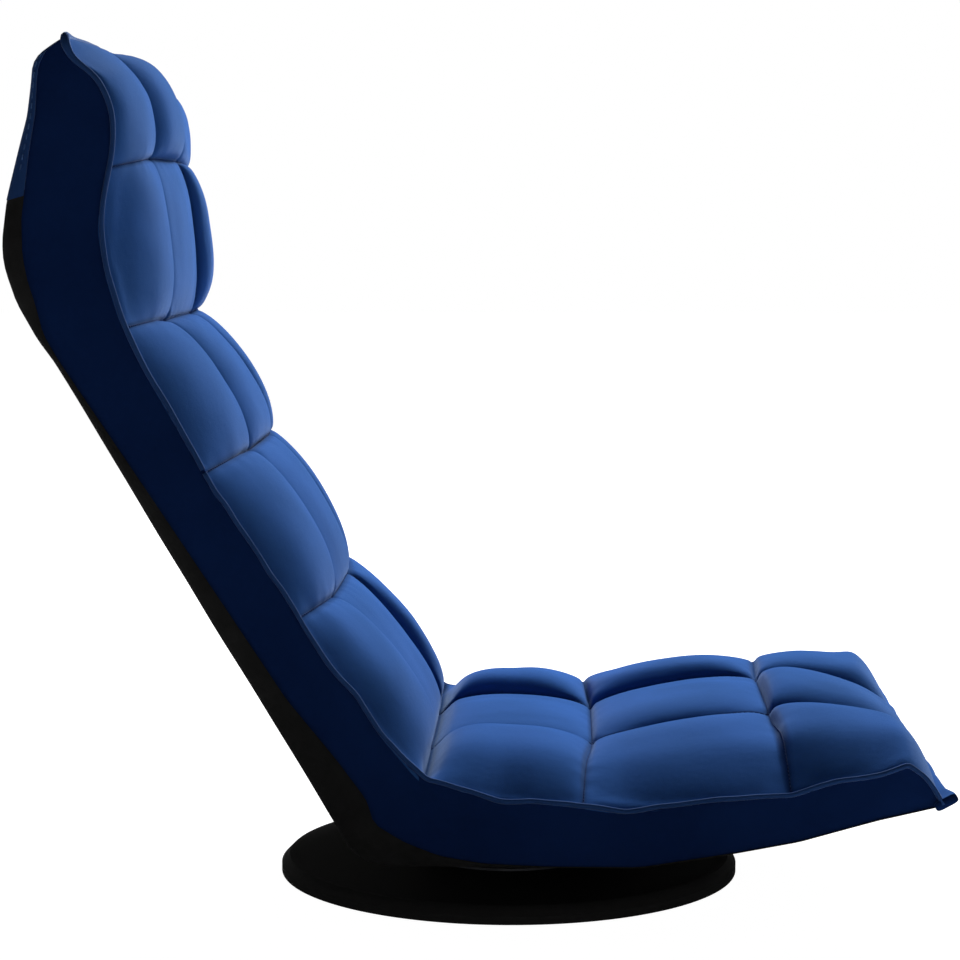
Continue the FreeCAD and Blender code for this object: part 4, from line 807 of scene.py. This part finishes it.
disc_paint = disc_lacquer_painted_rim_light()
foot_rubber = painted("foot_rubber", colour(18, 18, 18), colour(27, 27, 27), 0.75, 500.0, 0.0002)
frame_paint = painted("frame_powder_coat", colour(24, 24, 25), colour(34, 34, 36), 0.5, 1400.0, 0.0002)
zinc = painted("black_zinc_plated_steel", colour(50, 51, 54), colour(66, 67, 70), 0.45, 700.0, 0.00005, 1.0)
webbing = woven("elastic_webbing", colour(40, 40, 42), colour(60, 60, 64), 0.8, 420.0, 0.0004)
pale_thread = woven("wrap_thread", colour(70, 104, 160), colour(84, 118, 176), 0.7, 1500.0, 0.0001)
thread = woven("seam_thread", colour(18, 44, 94), colour(24, 52, 106), 0.8, 1500.0, 0.0001)


def finish_with(obj, material):
    """Gives an object one material."""
    obj.data.materials.clear()
    obj.data.materials.append(material)
    return obj


# The soft pieces


def bends(obj, which, material):
    """Gives a soft piece its finish and bakes its placement into its mesh; recline and head pieces are
    treated alike.
    """
    finish_with(obj, material)
    if which == "recline":
        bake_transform(obj)
    else:
        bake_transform(obj)
    return obj


quilt_lower, lower_top, lower_rows = quilt("quilt_lower", CUT, ROWS, 5)
bends(quilt_lower, "recline", blue_velvet)
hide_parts("seat_tufts", "lumbar_tufts", "seat_foam", "seat_front_facing")
quilt_upper, upper_top, upper_rows = quilt("quilt_upper", 0, CUT, 23)
bends(quilt_upper, "head", blue_velvet)
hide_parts("back_tufts", "neck_tufts", "head_tufts", "back_foam", "head_foam")
lower_stitches = stitches("quilt_stitches_lower", seam_lines(lower_top, lower_rows, CUT, ROWS))
bends(lower_stitches, "recline", thread)
upper_stitches = stitches("quilt_stitches_upper", seam_lines(upper_top, upper_rows, 1, CUT - 1))
bends(upper_stitches, "head", thread)

for side, hand in ((-1, "right"), (1, "left")):
    lower = side_panel("side_panel_lower_" + hand, CUT, ROWS, side, 41 + side)
    bends(lower, "recline", velvet_with_painted_side_shade)
    upper = side_panel("side_panel_upper_" + hand, 0, CUT, side, 41 + side)
    bends(upper, "head", velvet_with_painted_side_shade)
    if side < 0:
        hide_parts("seat_side_panels", "crease_gussets")
        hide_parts("back_side_panels", "head_side_panels", "neck_gussets")
    piping = tube("piping_lower_" + hand, edge_path(CUT, ROWS, side), PIPING_RADIUS, wobble=0.08, seed=7)
    bends(piping, "recline", piping_velvet)
    if side < 0:
        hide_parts("seat_welts", "back_welts")


def head_piping():
    """The upper piping: up one side, across the head's top edge in a slow wave with a bump where each
    column seam meets it, and down the other side."""
    right = edge_path(0, CUT, -1)[::-1]
    left = edge_path(0, CUT, 1)
    y = np.linspace(-HALF_WIDTH + 4, HALF_WIDTH - 4, 160)
    base, _ = pad_base(np.array([0.0]), y)
    hidden = smooth(y, -120, -60) * (1 - smooth(y, 205, 240))
    bump = 1.8 * np.exp(-((np.abs(y) - COLUMN_SEAM) / 9) ** 2)
    wave = 0.8 * hash_noise(y / 26, y * 0, 77)
    across = np.stack([base[0, :, 0] - 0.6 - wave * 0.6 - 4 * hidden, y,
                       base[0, :, 2] + 0.8 + bump + wave - 5 * hidden], 1)
    path = np.concatenate([right[:-1], across, left[1:]])
    padded = np.concatenate([np.repeat(path[:1], 3, 0), path, np.repeat(path[-1:], 3, 0)])
    path = np.stack([np.convolve(padded[:, k], np.ones(7) / 7, "valid") for k in range(3)], 1)
    corner = np.linalg.norm(path - np.array([base[0, 0, 0], -HALF_WIDTH, base[0, 0, 2]]), axis=1)
    return path, HEAD_PIPING_RADIUS + 1.7 * np.exp(-(corner / 20) ** 2)


upper_path, upper_radius = head_piping()
upper_piping = tube("piping_upper", upper_path, upper_radius, wobble=0.08, seed=9)
bends(upper_piping, "head", piping_velvet)
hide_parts("head_welts")

VELVET_END = row_of(REAR, REAR_MARKS, (-386.1, 587.1))
rear_head = rear_cover("rear_cover_head", 0, VELVET_END, 61)
bends(rear_head, "head", piping_velvet)
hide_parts("head_back_cover")
wrap_rows = np.linspace(0.12, VELVET_END - 0.04, 80)
fold = at_row(PANEL_SEAM, PANEL_MARKS, wrap_rows)
fold = fold + 0.45 * (at_row(REAR, REAR_MARKS, wrap_rows) - fold)
wrap_stitches = stitches("head_wrap_stitches",
                         [np.stack([fold[:, 0], np.full(80, side * (HALF_WIDTH - 0.1)), fold[:, 1]], 1)
                          for side in (-1, 1)], 5.0, 8.0, 0.6)
bends(wrap_stitches, "head", pale_thread)
rear_upper = rear_cover("rear_cover_upper", VELVET_END - 0.03, CUT, 61, 0.4)
bends(rear_upper, "head", black_cloth)
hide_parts("back_cover", "neck_wrap")
rear_lower = rear_cover("rear_cover_lower", CUT, ROWS, 61, 0.4)
bends(rear_lower, "recline", black_cloth)
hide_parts("seat_bottom_cover", "hinge_wrap")


def hem():
    """The flat welt across the bottom front edge: a rounded 19 by 8 mm strip tilted 29 degrees up to the
    front, carried across the width, with a slow wave and small puckers."""
    y = np.linspace(-HALF_WIDTH - 2, HALF_WIDTH + 2, 260)
    angle = np.linspace(0, 2 * math.pi, 24, endpoint=False)
    long = HEM_HALF_LONG * np.sign(np.cos(angle)) * np.abs(np.cos(angle)) ** 0.45
    thick = HEM_HALF_THICK * np.sign(np.sin(angle)) * np.abs(np.sin(angle)) ** 0.55
    wave = 0.7 * hash_noise(y / 22, y * 0, 31)
    reach = 1 + 0.05 * hash_noise(y / 9, y * 0, 32) - 0.25 * smooth(y, -246, -222)
    tilt = math.radians(HEM_TILT)
    far = long[None, :] * reach[:, None]
    high = thick[None, :] + wave[:, None]
    x = HEM_PLACE[0] - 2.5 * smooth(y, -246, -222)[:, None] + far * math.cos(tilt) - high * math.sin(tilt)
    z = HEM_PLACE[1] + far * math.sin(tilt) + high * math.cos(tilt)
    points = np.stack([x, np.repeat(y[:, None], 24, 1), z], -1).reshape(-1, 3)
    caps = [list(range(24)), [259 * 24 + k for k in range(24)][::-1]]
    return outward(mesh_object("hem_welt", points, grid_faces(260, 24, closed=True), caps))


hem_welt = finish_with(hem(), blue_velvet)
hem_welt.data.materials.append(velvet_with_painted_side_shade)
# Painted shade: the welt's faces turned sideways or down take the darker copy of the velvet.
for face in hem_welt.data.polygons:
    face.material_index = int(abs(face.normal.y) > 0.8 or face.normal.z < -0.5)
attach(hem_welt, "seat")
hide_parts("front_hem_welt")

# Finishes of the hard nodes

NODE_FINISHES = {"base_disc": disc_paint, "foot_ring": foot_rubber}
SLOT_FINISHES = {"steel": zinc, "frame_paint": frame_paint, "webbing": webbing, "black_cloth": black_cloth}
for subpart in frame["record"]["subparts"]:
    node = frame["nodes"].get(subpart["node"])
    if node is None:
        continue
    chosen = NODE_FINISHES.get(subpart["node"]) or SLOT_FINISHES.get(subpart["material_slot"], velvet_with_painted_side_shade)
    for slot in node.material_slots:
        slot.material = chosen
    if not node.material_slots:
        node.data.materials.append(chosen)

# Floor, light and camera

WORLD_LIGHT = 0.03
FLOOR_GLOW, GLOW_SHARE = 1.42, 0.7
floor_mesh = bpy.data.meshes.new("floor")
floor_mesh.from_pydata([(-12, -12, 0), (12, -12, 0), (12, 12, 0), (-12, 12, 0)], [], [(0, 1, 2, 3)])
floor = bpy.data.objects.new("floor", floor_mesh)
bpy.context.scene.collection.objects.link(floor)
paper = Finish("pale_floor")
paper.set(Roughness=0.9, Base_Color=colour(246, 246, 246), Specular_IOR_Level=0.05)
glow = paper.node("ShaderNodeEmission")
eye = paper.node("ShaderNodeLightPath")
share = paper.node("ShaderNodeMath", operation="MULTIPLY")
share.inputs[1].default_value = GLOW_SHARE
mix = paper.node("ShaderNodeMixShader")
paper.join(eye.outputs["Is Camera Ray"], share.inputs[0])
paper.join(share.outputs[0], mix.inputs[0])
paper.join(paper.shader.outputs[0], mix.inputs[1])
paper.join(glow.outputs[0], mix.inputs[2])
paper.join(mix.outputs[0], paper.tree.nodes["Material Output"].inputs["Surface"])
glow.inputs["Strength"].default_value = FLOOR_GLOW
finish_with(floor, paper.material)

world = bpy.data.worlds.new("studio")
bpy.context.scene.world = world
world.use_nodes = True
tree = world.node_tree
background = tree.nodes["Background"]
rays = tree.nodes.new("ShaderNodeLightPath")
seen = tree.nodes.new("ShaderNodeMath")
seen.operation = "MAXIMUM"
tree.links.new(rays.outputs["Is Camera Ray"], seen.inputs[0])
tree.links.new(rays.outputs["Is Glossy Ray"], seen.inputs[1])
seen_more = tree.nodes.new("ShaderNodeMath")
seen_more.operation = "MAXIMUM"
tree.links.new(seen.outputs[0], seen_more.inputs[0])
tree.links.new(rays.outputs["Is Transmission Ray"], seen_more.inputs[1])
level = tree.nodes.new("ShaderNodeMix")
level.data_type = "FLOAT"
level.inputs[2].default_value = WORLD_LIGHT
level.inputs[3].default_value = 1.0
tree.links.new(seen_more.outputs[0], level.inputs[0])
tree.links.new(level.outputs[0], background.inputs["Strength"])
background.inputs["Color"].default_value = (1, 1, 1, 1)


def lamp(name, place, aim, size, power):
    """A square soft lamp at place turned towards aim."""
    data = bpy.data.lights.new(name, "AREA")
    data.size = size
    data.energy = power
    obj = bpy.data.objects.new(name, data)
    obj.location = place
    obj.rotation_euler = (Vector(aim) - Vector(place)).to_track_quat("-Z", "Y").to_euler()
    bpy.context.scene.collection.objects.link(obj)


lamp("key", (0.65, 2.7, 1.75), (-0.05, 0, 0.3), 1.0, 240)
lamp("front_fill", (0.3, -2.6, 0.35), (0, 0, 0.2), 1.4, 3)

CAMERA_PLACE = (0.0483, -2.3345, 0.5864)
CAMERA_TILT, CAMERA_TURN = 84.112, 1.807
camera_data = bpy.data.cameras.new("camera")
camera_data.lens = 100.9
camera_data.sensor_width = 36.0
camera = bpy.data.objects.new("camera", camera_data)
camera.location = CAMERA_PLACE
camera.rotation_euler = (math.radians(CAMERA_TILT), 0, math.radians(CAMERA_TURN))
bpy.context.scene.collection.objects.link(camera)
bpy.context.scene.camera = camera
bpy.context.scene.view_settings.view_transform = "Standard"
